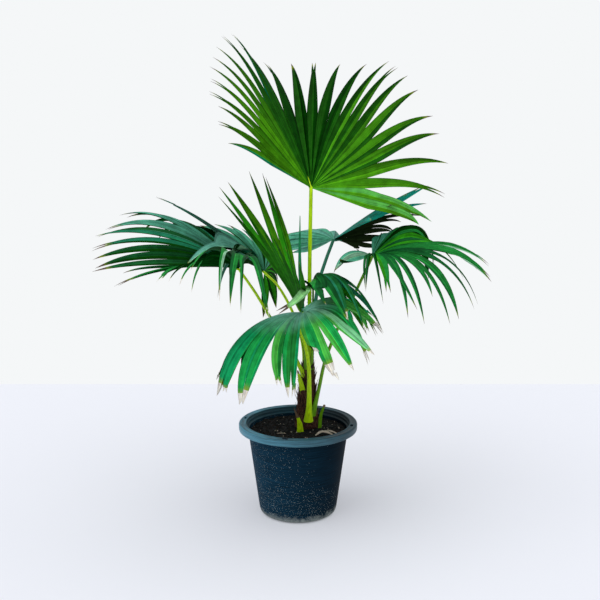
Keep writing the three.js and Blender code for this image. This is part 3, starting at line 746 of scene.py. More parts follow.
def coat(tree, shader, colour, height, strength, depth):
    """Gives a shader a colour, and a relief with a strength and a depth in metres."""
    tree.links.new(colour, shader.inputs["Base Color"])
    relief = add(tree, "ShaderNodeBump", {
        "Height": height, "Strength": strength, "Distance": depth})
    tree.links.new(relief.outputs["Normal"], shader.inputs["Normal"])


def leaf_tissue(name, colour, dry=False, hub=1.0):
    """Palm leaf, grown and wax-coated: a satin skin with fine lengthwise veins, a pale rib on each
    segment, and dark margins that are painted shade in the creases between segments. A wax coat
    near the stalk is drawn pale, partly its own colour and partly a painted sheen of the sky, and
    the tissue yellows towards a dead tip. Dry tissue is dull and creased. hub says how much
    lighter it is drawn at the stalk: painted light, and painted shade where it is under 1."""
    colours = bpy.context.scene.palm_colours
    material, tree, shader = surface(
        name, Roughness=0.8 if dry else 0.46, IOR=1.45,
        Specular_IOR_Level=0.0 if name.endswith("_under") else 0.02)
    across, along, segment = (stored(tree, key) for key in ("across", "along", "dead"))
    # Bundles of veins, about five to a segment, run its whole length, over a soft mottle.
    lane = add(tree, "ShaderNodeCombineXYZ", {"X": across, "Y": segment, "Z": along})
    streaks = grains(tree, stretched(tree, lane.outputs[0], (5, 60, 0.9)), 1, 2, 0.6)
    mottle = grains(tree, on_object(tree), 22 * MM, 4)
    blend = maths(tree, "MULTIPLY_ADD", streaks, 0.65, maths(tree, "MULTIPLY", mottle, 0.35))
    tone = ramp(tree, blend, (0.4, shaded(colour, 0.6)), (0.6, shaded(colour, 1.42)))
    # Painted light and shade along the leaf: lighter or darker at the stalk by the hub value.
    painted_hub_light = mapped(tree, along, (0.1, 0.9), (hub, 1.8 - 0.8 * hub))
    # The rib is warm and pale, and the facets darken to their margins: painted shade in the creases
    # between segments.
    pale_rib_crease_shade = ramp(
        tree, maths(tree, "ABSOLUTE", across), (0.03, (1.7, 1.6, 1.3)), (0.12, (1, 1, 1)),
        (0.84, (0.92, 0.92, 0.92)), (1, (0.42, 0.42, 0.42)))
    skin = mixed(tree, 0.85, scaled(tree, tone, painted_hub_light), pale_rib_crease_shade, blend_type="MULTIPLY")
    if not dry:
        patches = mapped(tree, blend, (0.4, 0.62), (0.4, 1))
        # The wax coat near the stalk is pale partly with painted sheen; the tissue yellows before a
        # dead tip.
        for key, film in (("waxy", colours.bloom), ("wither", colours.yellowed)):
            share = maths(tree, "MULTIPLY", stored(tree, key), patches, use_clamp=True)
            skin = mixed(tree, share, skin, opaque(film))
    # Twelve veins cross a segment. Real ones are twice as many, too fine to show.
    veins = maths(tree, "SINE", maths(tree, "MULTIPLY", across, 12 * math.pi))
    coat(tree, shader, skin, veins, 0.5 if dry else 0.25, 0.35 * MM)
    return material


def stalk_skin(name, colour):
    """Palm petiole, a smooth wax-coated rind: satin green with faint lengthwise streaks and
    freckles.
    """
    material, tree, shader = surface(name, Roughness=0.4, IOR=1.45, Specular_IOR_Level=0.2)
    streaks = grains(tree, stretched(tree, on_object(tree), (1, 1, 0.08)), 1.6 * MM, 2)
    tone = ramp(tree, streaks, (0.28, shaded(colour, 0.62)), (0.6, shaded(colour, 1.15)))
    coat(tree, shader, tone, streaks, 0.3, 0.3 * MM)
    return material


def sheath_fibre(name, colour, hollow):
    """Palm leaf sheath, a woven mat of dry fibre: matt red brown with dark gaps along it."""
    material, tree, shader = surface(name, Roughness=0.9, Specular_IOR_Level=0.2)
    lean = stretched(tree, on_object(tree), (1, 1, 0.14), (0, 0.25, 0))
    strands = grains(tree, lean, 1.9 * MM, 4, 0.62)
    tone = ramp(tree, strands, (0.4, hollow), (0.53, colour), (0.66, shaded(colour, 1.5)))
    coat(tree, shader, tone, strands, 0.9, 1.2 * MM)
    return material


def dull(name, colour, size, roughness):
    """A dry, dull material, weathered: its colour varies over grains of one size in metres."""
    material, tree, shader = surface(name, Roughness=roughness, Specular_IOR_Level=0.25)
    lumps = grains(tree, on_object(tree), size, 5, 0.7)
    tone = ramp(tree, lumps, (0.35, shaded(colour, 0.45)), (0.68, shaded(colour, 1.7)))
    coat(tree, shader, tone, lumps, 0.8, size / 3)
    return material


def pot_plastic(name, colour, speck, roughness, sheen):
    """Polypropylene, injection moulded and weathered: fine rings from the mould, chalky splash
    specks, and a band of limescale that thins out above the foot. Painted light and shade draw
    the lit side lighter and the shaded side darker."""
    scale = bpy.context.scene.palm_colours.scale
    material, tree, shader = surface(name, IOR=1.49, Specular_IOR_Level=sheen)
    place = on_object(tree)
    spread = add(tree, "ShaderNodeSeparateXYZ", {"Vector": place})
    across, height = spread.outputs["X"], spread.outputs["Z"]
    # Mould rings stand 1.5 mm apart, streaky along the wall.
    rings = grains(tree, stretched(tree, place, (0.025, 0.025, 1)), 1.5 * MM, 3, 0.7)
    lines = ramp(tree, rings, (0.34, shaded(colour, 0.6)), (0.68, shaded(colour, 1.8)))
    # Painted light and shade: the pot is drawn lighter on its -X side, where the light falls, and
    # darker on its +X side, in shade.
    painted_side_light = mapped(tree, across, (-110 * MM, 110 * MM), (1.35, 0.3))
    tone = scaled(tree, lines, painted_side_light)
    # Splash specks about 1 mm across lie thick near the foot on the lit -X side, and thin out
    # towards +X so that the shaded side stays dark: painted shade.
    cells = add(tree, "ShaderNodeTexVoronoi", {"Vector": place, "Scale": 1 / (1.7 * MM)})
    chance = add(tree, "ShaderNodeSeparateColor", {"Color": cells.outputs["Color"]}).outputs[0]
    low = mapped(tree, height, (5 * MM, 130 * MM), (0.16, -0.15))
    side = maths(tree, "MULTIPLY_ADD", across, -1.4, low)
    patches = grains(tree, place, 40 * MM, 3)
    reach = maths(tree, "MULTIPLY_ADD", patches, speck, side, use_clamp=True)
    rounded = mapped(tree, cells.outputs["Distance"], (0.28, 0.12))
    dots = maths(tree, "MULTIPLY", maths(tree, "LESS_THAN", chance, reach), rounded)
    dotted = mixed(tree, dots, tone, opaque(scale))
    # Limescale: a mottled band, 20 mm high at most, that ends raggedly.
    ragged = grains(tree, place, 14 * MM, 5, 0.7)
    edge = maths(tree, "MULTIPLY_ADD", ragged, -48 * MM, height)
    band = mapped(tree, edge, (-4 * MM, -20 * MM), (0, 0.65))
    limed = mixed(tree, band, dotted, opaque(shaded(scale, 0.5)))
    wear = mapped(tree, rings, (0, 1), (roughness - 0.1, roughness + 0.2))
    tree.links.new(wear, shader.inputs["Roughness"])
    coat(tree, shader, limed, rings, 0.35, 0.25 * MM)
    return material


# Painted light and shade along a leaf: how much lighter or darker than its middle a leaf is drawn
# where it leaves the stalk. Over 1 paints light near the stalk, lifting the inner leaf out of its
# shade; under 1 paints the shade on the left frond's inner face.
HUB_LIGHT = dict(
    fresh=1.5, leafy=1.5, fern=1.4, moss=1.4, grass=1.5, spruce=0.45, reed=0.35)
# The name of each dry material, its grain in millimetres, and its roughness.
DRY = dict(
    fibre=("dry_palm_fibre", 2, 0.9), thorn=("hard_thorn", 1, 0.5),
    soil=("moist_compost", 3, 0.82), crumb=("composted_bark", 2, 0.9),
    pebble=("pale_grit", 2, 0.9))
# The name of each plastic, its colour and the share of it, its specks, roughness and sheen.
PLASTICS = dict(
    pot=("moulded_polypropylene", "pot", 1, 0.47, 0.5, 0.02),
    rim=("scuffed_polypropylene", "rim", 1, 0.2, 0.36, 0.3),
    # The mouth is the rim's colour darkened: painted shade inside the pot's mouth.
    mouth=("damp_polypropylene", "rim", 0.4, 0, 0.4, 0.2))
MATERIALS = {}


def new_material(look):
    """A new material for a look, in the colours that are set."""
    colours = bpy.context.scene.palm_colours
    if look in PLASTICS:
        name, key, share, *finish = PLASTICS[look]
        return pot_plastic(name, shaded(getattr(colours, key), share), *finish)
    colour = getattr(colours, look)
    if look in DRY:
        name, size, roughness = DRY[look]
        return dull(name, colour, size * MM, roughness)
    if look == "bark":
        return sheath_fibre("palm_sheath_fibre", colour, colours.bark_dark)
    if look.endswith("_stalk"):
        return stalk_skin("petiole_rind_" + look.removesuffix("_stalk"), colour)
    if look in ("dead", "husk"):
        return leaf_tissue(look + "_palm_leaf", colour, dry=True)
    return leaf_tissue("palm_leaf_" + look, colour, hub=HUB_LIGHT.get(look, 1.0))


def material_for(look):
    """The material of a look, made the first time that it is asked for."""
    if look not in MATERIALS:
        MATERIALS[look] = new_material(look)
    return MATERIALS[look]


# ------------------------------------------------------------------ the fan blades


def blade_axes(frond):
    """The midrib, side and normal of a frond's blade."""
    a, e, r = (math.radians(frond[k]) for k in ("heading", "rise", "roll"))
    midrib = np.array([math.cos(e) * math.cos(a), math.cos(e) * math.sin(a), math.sin(e)])
    up = np.array([-math.sin(e) * math.cos(a), -math.sin(e) * math.sin(a), math.cos(e)])
    across = np.cross(up, midrib)
    side = across * math.cos(r) + up * math.sin(r)
    return midrib, side, up * math.cos(r) - across * math.sin(r)


def ribs(frond, places):
    """Points of the ribs at some places in degrees from the midrib, from the hub to the tip."""
    places = np.asarray(places, float)
    left = places > 0

    def pick(key):
        """A value of the frond for the half that each rib is in."""
        return np.where(left, frond[key + "_left"], frond[key + "_right"])

    share = np.sign(places) * np.abs(places / pick("spread")) ** pick("crowd")
    angle = np.radians(share * pick("spread"))
    fold = np.radians(pick("fold")) * np.tanh(np.abs(angle) / CREASE)
    dish = math.radians(frond["dish"])
    midrib, side, normal = blade_axes(frond)
    ahead = (
        np.cos(angle)[:, None] * midrib
        + (np.sin(angle) * np.cos(fold))[:, None] * side
        + (np.abs(np.sin(angle)) * np.sin(fold))[:, None] * normal
    )
    ahead = unit(ahead * math.cos(dish) + normal * math.sin(dish))
    length = frond["length"] * (
        1 + (pick("end") - 1) * share ** 2 + frond["lean"] * np.sin(np.pi * share))
    points = [np.repeat(np.array([frond["petiole"][-1]], float), len(places), axis=0)]
    for i in range(RIB_STEPS):
        tipward = max(0, ((i + 0.5) / RIB_STEPS - frond["bend"]) / (1 - frond["bend"]))
        pull = frond["sag"] + (frond["droop"] + frond["side_droop"] * share ** 2) * tipward
        ahead = ahead + frond["bow"] / RIB_STEPS * normal
        ahead[:, 2] -= pull / RIB_STEPS
        ahead = unit(ahead)
        points.append(points[-1] + ahead * (length / RIB_STEPS)[:, None])
    return np.stack(points, axis=1)


def at(line, t):
    """The points of a rib at shares t of its length."""
    grid = np.linspace(0, 1, len(line))
    return np.stack([np.interp(t, grid, line[:, k]) for k in range(3)], axis=1)


def heading(line, t):
    """The direction of a rib at shares t of its length."""
    step = 0.5 / RIB_STEPS
    return unit(at(line, np.minimum(t + step, 1)) - at(line, np.maximum(t - step, 0)))


def shared_out(table, numbers, part):
    """One part of a table of segments' offsets, blended between the segments that it names."""
    if not table:
        return np.zeros((len(numbers), 1))
    known = sorted(table)
    values = [(*table[k], 0)[part] for k in known]
    return np.interp(numbers, known, values)[:, None]


def strayed(frond, numbers, lines):
    """The ribs of numbered segments with their tips and middles bent away from the rule."""
    t = np.linspace(0, 1, RIB_STEPS + 1)
    tipward = np.clip((t - STRAY_FROM) / (1 - STRAY_FROM), 0, 1) ** 1.7
    for axis, part in ((0, 0), (2, 1), (1, 2)):
        lines[:, :, axis] += shared_out(frond["strays"], numbers, part) * tipward
        lines[:, :, axis] += shared_out(frond["bulges"], numbers, part) * np.sin(np.pi * t)
    return lines


def margin(rib, edge, cut, look, t):
    """A segment's margin: along its neighbour's up to the cut, then tapering to its own tip."""
    share = np.clip((t - cut) / (1 - cut), 0, 1)
    root = at(edge, [cut]) - at(rib, [cut])
    if look["twist"]:
        # The free part turns about its rib over the first third of its length.
        ahead = heading(rib, t)
        turn = look["twist"] * np.minimum(1, 3 * share)[:, None]
        square = root - ahead * np.sum(ahead * root, axis=1, keepdims=True)
        square = unit(square) * np.linalg.norm(root)
        root = square * np.cos(turn) + np.cross(ahead, square) * np.sin(turn)
    broad = 1 + (look["broad"] - 1) * np.minimum(1, 4 * share)
    width = (1 - share ** look["taper"]) * broad
    return np.where((t <= cut)[:, None], at(edge, t), at(rib, t) + root * width[:, None])


def strip_between(right, left, t, look):
    """A strip between two margins."""
    centre, side = (right + left) / 2, left - right
    half = np.linalg.norm(side, axis=1) / 2
    ahead = tangents(centre)
    side = side + 1e-4 * unit(side[0])
    side = side - ahead * np.sum(side * ahead, axis=1, keepdims=True)
    # A margin that closes on its tip keeps the direction that it had just below it.
    for i in range(1, len(side)):
        if half[i] < CLOSED:
            side[i] = side[i - 1]
    up = unit(np.cross(ahead, unit(side)))
    # How far along the rib the wax coat and its painted sheen reach.
    waxy = np.clip(1.5 - 1.5 * t / look["bloom"], 0, 1) if look["bloom"] else 0
    wither = np.clip(1 - (look["dead"] - t) / FADE, 0, 1)
    return dict(
        look, points=centre, up=up, half=np.maximum(half, THINNEST), along=t, waxy=waxy,
        wither=wither)


def segment_chains(low, rib, edges, cuts, look):
    """The strips of one segment from a share of its rib on: the whole of it, then its forked tip
    as two narrow strips."""
    fork = max(cuts) + (1 - max(cuts)) * FORK_AT

    def rows(start, end):
        """The shares of the rib at which a strip has its rows of points."""
        inner = np.arange(1, 2 * RIB_STEPS) / (2 * RIB_STEPS)
        sparse = [v for v in inner if start + 0.01 < v < end - 0.01]
        return np.array([start, *sparse, end])

    def sides(t):
        """The right and left margin of the segment."""
        return [margin(rib, edge, cut, look, t) for edge, cut in zip(edges, cuts)]

    right, left = sides(np.array([fork]))
    if not look["forked"] or np.linalg.norm(left - right) < FORK_WIDTH:
        t = rows(low, 1)
        return [strip_between(*sides(t), t, look)]
    t = rows(low, fork)
    chains = [strip_between(*sides(t), t, look)]
    # Each half of the fork narrows from the segment's own margins and middle.
    t = rows(fork - 0.015, 1)
    right, left = sides(t)
    width = np.linalg.norm(left[0] - right[0])
    spread = unit(left[0] - right[0])
    tip = np.clip((t - fork) / (1 - fork), 0, 1)[:, None]
    for sign in (-1, 1):
        middle = at(rib, t) + spread * sign * width * (0.25 + 0.2 * tip)
        reach = spread * width * 0.27 * (1 - tip ** 1.3)
        chains.append(strip_between(middle - reach, middle + reach, t, look))
    return chains


def segment_look(frond, i, rng):
    """A segment's shades, width, twist, bloom and tip, by the frond's tables and by chance."""
    zone = next(zone for zone in frond["zones"] if i <= zone[0])
    first, second, under = (*zone[1:], SHADES)[:3]
    if rng.random() < SWAPPED:
        first, second = second, first
    dead = WHOLE
    if i not in frond["whole"]:
        share = frond["dead"] * rng.uniform(*DEAD_SPREAD)
        dead = 1 - frond["dried"].get(i, share)
    return dict(
        facet_a=first, facet_b=second, facet_under=under, taper=frond["taper"],
        broad=frond["broad"].get(i, 1), twist=math.radians(frond["twist"].get(i, 0)),
        bloom=frond["bloom"], dead=dead, pale_tip=int(i >= frond["bleached"]),
        forked=rng.random() < frond["forks"])


def fan_chains(frond, rng):
    """The strips of all the segments of a frond, each with its facets' shades and dead tip."""
    count = frond["segments"]
    step = (frond["spread_left"] + frond["spread_right"]) / (count - 1)
    lines, edges = (
        strayed(frond, numbers, ribs(frond, numbers * step - frond["spread_right"]))
        for numbers in (np.arange(count), np.arange(count + 1) - 0.5))
    chains = []
    for i in range(count):
        if i in frond["missing"]:
            continue
        cuts = [frond["splits"].get(k, frond["cut"]) for k in (i - 1, i)]
        look = segment_look(frond, i, rng)
        chains += segment_chains(
            HUB_RADIUS / frond["length"], lines[i], edges[i:i + 2], cuts, look)
    return chains


def fan_tree():
    """Sweeps a thin V along each strip and deals out its materials."""
    shades = ["Shade %d" % (k + 1) for k in range(SHADES)]
    tree, value, result = node_tree("fan_blade", {
        "Pleat": "Float", "Thickness": "Float", **dict.fromkeys(shades, "Material"),
        "Underside": "Material", "Dead": "Material", "Bleached": "Material"})
    curves, name = strips(tree, value["Geometry"])
    rib = maths(tree, "MULTIPLY", value["Pleat"], -1.0)
    keel = maths(tree, "SUBTRACT", rib, value["Thickness"])
    section = add(tree, "GeometryNodeCurvePrimitiveQuadrilateral", {
        "Point %d" % (i + 1): add(tree, "ShaderNodeCombineXYZ", {"X": x, "Y": y}).outputs[0]
        for i, (x, y) in enumerate(((0.0, -1.0), (rib, 0.0), (0.0, 1.0), (keel, 0.0)))
    }, mode="POINTS")
    # Each spot of the blade keeps its place on the section.
    held = add(tree, "GeometryNodeCaptureAttribute", {"Geometry": section.outputs[0]})
    held.capture_items.new("VECTOR", "Spot")
    tree.links.new(add(tree, "GeometryNodeInputPosition").outputs[0], held.inputs["Spot"])
    spot = add(tree, "ShaderNodeSeparateXYZ", {"Vector": held.outputs["Spot"]}).outputs
    radius = maths(tree, "MULTIPLY", name["half"], MM)
    blade = swept(tree, curves, held.outputs["Geometry"], radius)
    blade = add(tree, "GeometryNodeStoreNamedAttribute", {
        "Geometry": blade, "Name": "across", "Value": spot["Y"]},
        data_type="FLOAT", domain="POINT").outputs[0]
    blade = real(tree, creased(tree, blade, 26))
    # The upper face lies at half the pleat on average, the underside half a thickness lower.
    lower = maths(tree, "MULTIPLY", value["Thickness"], -0.25)
    middle = maths(tree, "MULTIPLY_ADD", rib, 0.5, lower)
    under = compared(tree, spot["X"], "LESS_THAN", middle)
    # Each facet of a segment takes its own shade, mostly one lit and one shaded: painted light and
    # shade on the fold.
    near = compared(tree, spot["Y"], "LESS_THAN", 0.0)
    facet = switched(tree, near, name["facet_b"], name["facet_a"], "INT")
    shade = switched(tree, under, facet, name["facet_under"], "INT")
    blade = painted(tree, blade, value["Underside"])
    for k, label in enumerate(shades):
        here = compared(tree, shade, "EQUAL", k, data_type="INT")
        blade = painted(tree, blade, value[label], here)
    gone = compared(tree, name["along"], "GREATER_THAN", name["dead"])
    pale = add(tree, "FunctionNodeBooleanMath", {0: gone, 1: name["pale_tip"]}, operation="AND")
    blade = painted(tree, blade, value["Dead"], gone)
    blade = painted(tree, blade, value["Bleached"], pale.outputs[0])
    tree.links.new(blade, result[0])
    return tree


class PALM_OT_fronds(Operator):
    """Build the pleated fan blades"""

    bl_idname = "palm.fronds"
    bl_label = "Fan blades"

    def execute(self, context):
        sizes = context.scene.palm_sizes
        tree = fan_tree()
        for frond in FRONDS:
            rng = random.Random(sizes.seed + len(frond["name"]) + frond["segments"])
            host = chain_mesh("fan_" + frond["name"], fan_chains(frond, rng))
            shades = {
                "Shade %d" % (k + 1): material_for(look)
                for k, look in enumerate(frond["looks"])}
            fan = grown("fan_" + frond["name"], host, tree, {
                "Pleat": sizes.pleat, "Thickness": sizes.leaf,
                "Underside": material_for(frond["under"]), "Dead": material_for("husk"),
                "Bleached": material_for("dead"), **shades})
            settle(fan, "leaf", "blade_" + frond["name"])
        return {"FINISHED"}


# ------------------------------------------------------------------ stalks and shoots


def stalk_tree():
    """Sweeps a channelled section along a stalk, sets thorns on its margins, and deals out its
    materials."""
    tree, value, result = node_tree("stalk", {
        "Sides": "Int", "Upper depth": "Float", "Lower depth": "Float", "Channel": "Float",
        "Thorn spacing": "Float", "Thorn length": "Float", "Thorns up to": "Float",
        "Rind": "Material", "Dead": "Material", "Thorn": "Material"})
    line, name = strips(tree, value["Geometry"])
    circle = add(tree, "GeometryNodeCurvePrimitiveCircle", {
        "Resolution": value["Sides"], "Radius": 1.0})
    spot = add(tree, "ShaderNodeSeparateXYZ", {
        "Vector": add(tree, "GeometryNodeInputPosition").outputs[0]}).outputs
    # The upper half is hollowed into a channel, the lower half is a keel.
    upper = compared(tree, spot["X"], "GREATER_THAN", 0.0)
    channel = maths(tree, "MULTIPLY", maths(tree, "POWER", spot["X"], 2.0), value["Channel"])
    raised = maths(tree, "MULTIPLY", spot["X"], value["Upper depth"])
    hollowed = maths(tree, "SUBTRACT", raised, channel)
    keel = maths(tree, "MULTIPLY", spot["X"], value["Lower depth"])
    depth = switched(tree, upper, keel, hollowed, "FLOAT")
    section = add(tree, "GeometryNodeSetPosition", {
        "Geometry": circle.outputs[0],
        "Position": add(tree, "ShaderNodeCombineXYZ", {"X": depth, "Y": spot["Y"]}).outputs[0]})
    radius = maths(tree, "MULTIPLY", name["half"], MM)
    skin = painted(tree, swept(tree, line, section.outputs[0], radius), value["Rind"])
    gone = compared(tree, name["along"], "GREATER_THAN", name["dead"])
    skin = painted(tree, skin, value["Dead"], gone)
    # A thorn stands out from each margin at even steps.
    spaced = add(tree, "GeometryNodeResampleCurve", {
        "Curve": line, "Length": value["Thorn spacing"]}, mode="LENGTH")
    thorn = add(tree, "GeometryNodeMeshCone", {
        "Vertices": 5, "Radius Top": 0.0, "Radius Bottom": 0.34, "Depth": 1.0})
    sideways = add(tree, "ShaderNodeVectorMath", {
        0: add(tree, "GeometryNodeInputTangent").outputs[0], 1: name["up"]},
        operation="CROSS_PRODUCT")
    bearing = compared(tree, name["along"], "LESS_THAN", value["Thorns up to"])
    everything = add(tree, "GeometryNodeJoinGeometry")
    for sign in (-1.0, 1.0):
        out = scaled(tree, sideways.outputs[0], sign)
        moved = add(tree, "GeometryNodeSetPosition", {
            "Geometry": spaced.outputs[0], "Offset": scaled(tree, out, radius)})
        aim = add(tree, "FunctionNodeAlignRotationToVector", {"Vector": out}, axis="Z")
        thorns = add(tree, "GeometryNodeInstanceOnPoints", {
            "Points": moved.outputs[0], "Selection": bearing, "Instance": thorn.outputs[0],
            "Rotation": aim.outputs[0], "Scale": value["Thorn length"]})
        black = painted(tree, real(tree, thorns.outputs[0]), value["Thorn"])
        tree.links.new(black, everything.inputs[0])
    tree.links.new(skin, everything.inputs[0])
    tree.links.new(creased(tree, everything.outputs[0], 50), result[0])
    return tree


def stalk_chain(path, radii, facing, dead=WHOLE):
    """A stalk's line: its points, its radius from a few even values, and its upper side."""
    ahead = tangents(path)
    facing = np.array(facing, float)
    up = facing - ahead * (ahead @ facing)[:, None]
    along = np.linspace(0, 1, len(path))
    return dict(
        points=path, up=unit(up), along=along, dead=dead,
        half=np.interp(along, np.linspace(0, 1, len(radii)), radii))


def petiole_chain(frond):
    """A petiole from inside the trunk to the hub, and on under the blade as a fading midrib."""
    foot, top = frond["stalk"]
    line = smooth_line(frond["petiole"], 60)
    midrib = ribs(frond, [0.01])[0]
    normal = blade_axes(frond)[2]
    tail = at(midrib, np.linspace(0.02, STALK["tail"], 10)) - normal * top * 0.35
    path = np.concatenate([line, tail])
    turn = math.radians(frond["heading"])
    chain = stalk_chain(path, [foot], (-math.cos(turn), -math.sin(turn), 0.6))
    run = run_lengths(path)
    stem = run[len(line) - 1]
    share = STALK["waist"] + STALK["flare"] * np.exp(-run / STALK["flare_run"])
    half = np.interp(
        run, [0, stem * 0.5, stem, run[-1]], [foot, (foot + top) / 2, top, STALK["tip"]])
    chain.update(half=half * share, along=run / stem)
    return chain


class PALM_OT_stalks(Operator):
    """Build the thorny leaf stalks"""

    bl_idname = "palm.stalks"
    bl_label = "Leaf stalks"

    def execute(self, context):
        sizes = context.scene.palm_sizes
        tree = stalk_tree()
        for frond in FRONDS:
            host = chain_mesh("stalk_" + frond["name"], [petiole_chain(frond)])
            stalk = grown("stalk_" + frond["name"], host, tree, {
                "Sides": STALK["sides"], "Upper depth": STALK["upper"],
                "Lower depth": STALK["lower"], "Channel": STALK["channel"],
                "Thorn spacing": sizes.tooth_spacing, "Thorn length": sizes.tooth,
                "Thorns up to": STALK["thorns_up_to"],
                "Rind": material_for(frond["stalk_look"]), "Dead": material_for("dead"),
                "Thorn": material_for("thorn")})
            settle(stalk, "petiole", "petiole_" + frond["name"])
        return {"FINISHED"}


class PALM_OT_shoots(Operator):
    """Build the unopened leaf and the old leaf bases"""

    bl_idname = "palm.shoots"
    bl_label = "Spear leaf and leaf bases"

    def execute(self, context):
        sizes = context.scene.palm_sizes
        tree = stalk_tree()
        for shoot in SHOOTS:
            path = smooth_line(shoot["path"], 40)
            chain = stalk_chain(path, shoot["radii"], shoot["facing"], shoot["dead"])
            made = grown(shoot["name"] + "_shoot", chain_mesh(shoot["name"], [chain]), tree, {
                "Sides": 12, "Upper depth": shoot["flat"], "Lower depth": shoot["flat"],
                "Channel": 0.35, "Thorn spacing": sizes.tooth_spacing * 0.6,
                "Thorn length": sizes.tooth, "Thorns up to": float(shoot["teeth"]),
                "Rind": material_for(shoot["look"]), "Dead": material_for("husk"),
                "Thorn": material_for("thorn")})
            settle(made, shoot["slot"], shoot["name"])
        return {"FINISHED"}


# ------------------------------------------------------------------ trunk


def trunk_middle(z):
    """Where the trunk's middle is at a height."""
    path = np.array(TRUNK["path"], float)
    return [np.interp(z, path[:, 2], path[:, k]) for k in (0, 1)]


def trunk_radius(z):
    """The trunk's radius at a height."""
    low, high = TRUNK["path"][0][2], TRUNK["path"][-1][2]
    radii = TRUNK["radii"]
    return np.interp(z, np.linspace(low, high, len(radii)), radii)


def trunk_relief(angle, z, radius):
    """How far the trunk stands out of its radius at an angle and a height."""
    # Sheaths lean round the trunk, each standing off the one above it. Strands of fibre run up
    # them, over broad lumps.
    sheath = (z / TRUNK["sheath_step"] + angle / math.pi) % 1
    x, y = math.cos(angle), math.sin(angle)
    width = radius / TRUNK["strand_width"]
    strand = noise.noise(Vector((x * width, y * width, z / TRUNK["strand_length"])))
    lump = noise.noise(Vector((x * 2, y * 2, z / TRUNK["lump_length"])))
    return (
        TRUNK["sheath_rise"] * (1 - sheath) ** 2 + TRUNK["strand_rise"] * strand
        + TRUNK["lump_rise"] * lump - TRUNK["sunk"])


def trunk_mesh():
    """The trunk with its overlapping sheaths and the long relief of their fibres."""
    rings = []
    for z in np.linspace(TRUNK["path"][0][2], TRUNK["path"][-1][2], TRUNK["rings"]):
        (x, y), radius = trunk_middle(z), trunk_radius(z)
        ring = []
        for angle in turns(TRUNK["sides"]):
            r = radius + trunk_relief(angle, z, radius)
            ring.append((x + r * math.cos(angle), y + r * math.sin(angle), z))
        rings.append(ring)
    return ring_mesh("trunk_sheaths", rings)


def flap_chains(rng):
    """Torn sheath ends that stand off the trunk, as short ragged strips."""
    chains = []
    for i in range(FLAPS["count"]):
        stray = rng.uniform(-FLAPS["stray"], FLAPS["stray"])
        z = FLAPS["first"] + FLAPS["over"] * i / FLAPS["count"] + stray
        turn = FLAPS["turn"] * i
        out = np.array([math.cos(turn), math.sin(turn), 0])
        sideways = np.array([-out[1], out[0], 0])
        length = rng.uniform(*FLAPS["length"])
        t = np.linspace(0, 1, 8)
        lift = FLAPS["lift"] * t ** 2 * rng.uniform(*FLAPS["lift_share"])
        swirl = rng.uniform(-FLAPS["swirl"], FLAPS["swirl"])
        middle = np.array([*trunk_middle(z), z])
        points = [
            middle + out * l + sideways * swirl * length * s + np.array([0, 0, length * s])
            for s, l in zip(t, trunk_radius(z) - 2 + lift)]
        chains.append(dict(
            points=np.array(points), up=np.repeat(out[None], len(t), axis=0),
            half=rng.uniform(*FLAPS["half"]) * (1 - t ** 2) + 0.3, along=t, facet_a=i % 2,
            facet_b=i % 2, dead=WHOLE))
    return chains


def scatter_tree(name, kinds):
    """Scatters small shapes over the upward or outward faces of a host and makes them real.
    kinds gives each shape's share, smallest and largest size in millimetres, and form."""
    tree, given, result = node_tree(
        name, {"Density": "Float", "Seed": "Int", **dict.fromkeys(kinds, "Material")})
    everything = add(tree, "GeometryNodeJoinGeometry")
    for k, (label, (share, small, large, form)) in enumerate(kinds.items()):
        facing = add(tree, "ShaderNodeSeparateXYZ", {
            "Vector": add(tree, "GeometryNodeInputNormal").outputs[0]})
        points = add(tree, "GeometryNodeDistributePointsOnFaces", {
            "Mesh": given["Geometry"],
            "Selection": compared(tree, facing.outputs["Z"], "GREATER_THAN", form["above"]),
            "Density": maths(tree, "MULTIPLY", given["Density"], share),
            "Seed": maths(tree, "ADD", given["Seed"], float(k * 11))})
        if form["shape"] == "strand":
            body = add(tree, "GeometryNodeMeshCone", {
                "Vertices": 4, "Side Segments": 1, "Radius Top": 0.012, "Radius Bottom": 0.03,
                "Depth": 1.0}).outputs["Mesh"]
        else:
            ball = add(tree, "GeometryNodeMeshIcoSphere", {"Radius": 0.5, "Subdivisions": 2})
            rough = add(tree, "ShaderNodeTexNoise", {"Scale": 1.7 + k})
            push = add(tree, "ShaderNodeVectorMath", {
                0: rough.outputs["Color"], 1: (0.5, 0.5, 0.5)}, operation="SUBTRACT")
            body = add(tree, "GeometryNodeSetPosition", {
                "Geometry": ball.outputs["Mesh"], "Offset": push.outputs[0]}).outputs[0]
        spin = add(tree, "FunctionNodeRandomValue", {
            "Min": form["turn_min"], "Max": form["turn_max"], "Seed": 3 + k},
            data_type="FLOAT_VECTOR")
        size = add(tree, "FunctionNodeRandomValue", {
            "Min": small * MM, "Max": large * MM, "Seed": 5 + k}, data_type="FLOAT")
        shapes = add(tree, "GeometryNodeInstanceOnPoints", {
            "Points": points.outputs["Points"], "Instance": body,
            "Rotation": spin.outputs["Value"], "Scale": size.outputs[1]})
        made = painted(tree, real(tree, shapes.outputs[0]), given[label])
        tree.links.new(made, everything.inputs[0])
    tree.links.new(everything.outputs[0], result[0])
    return tree


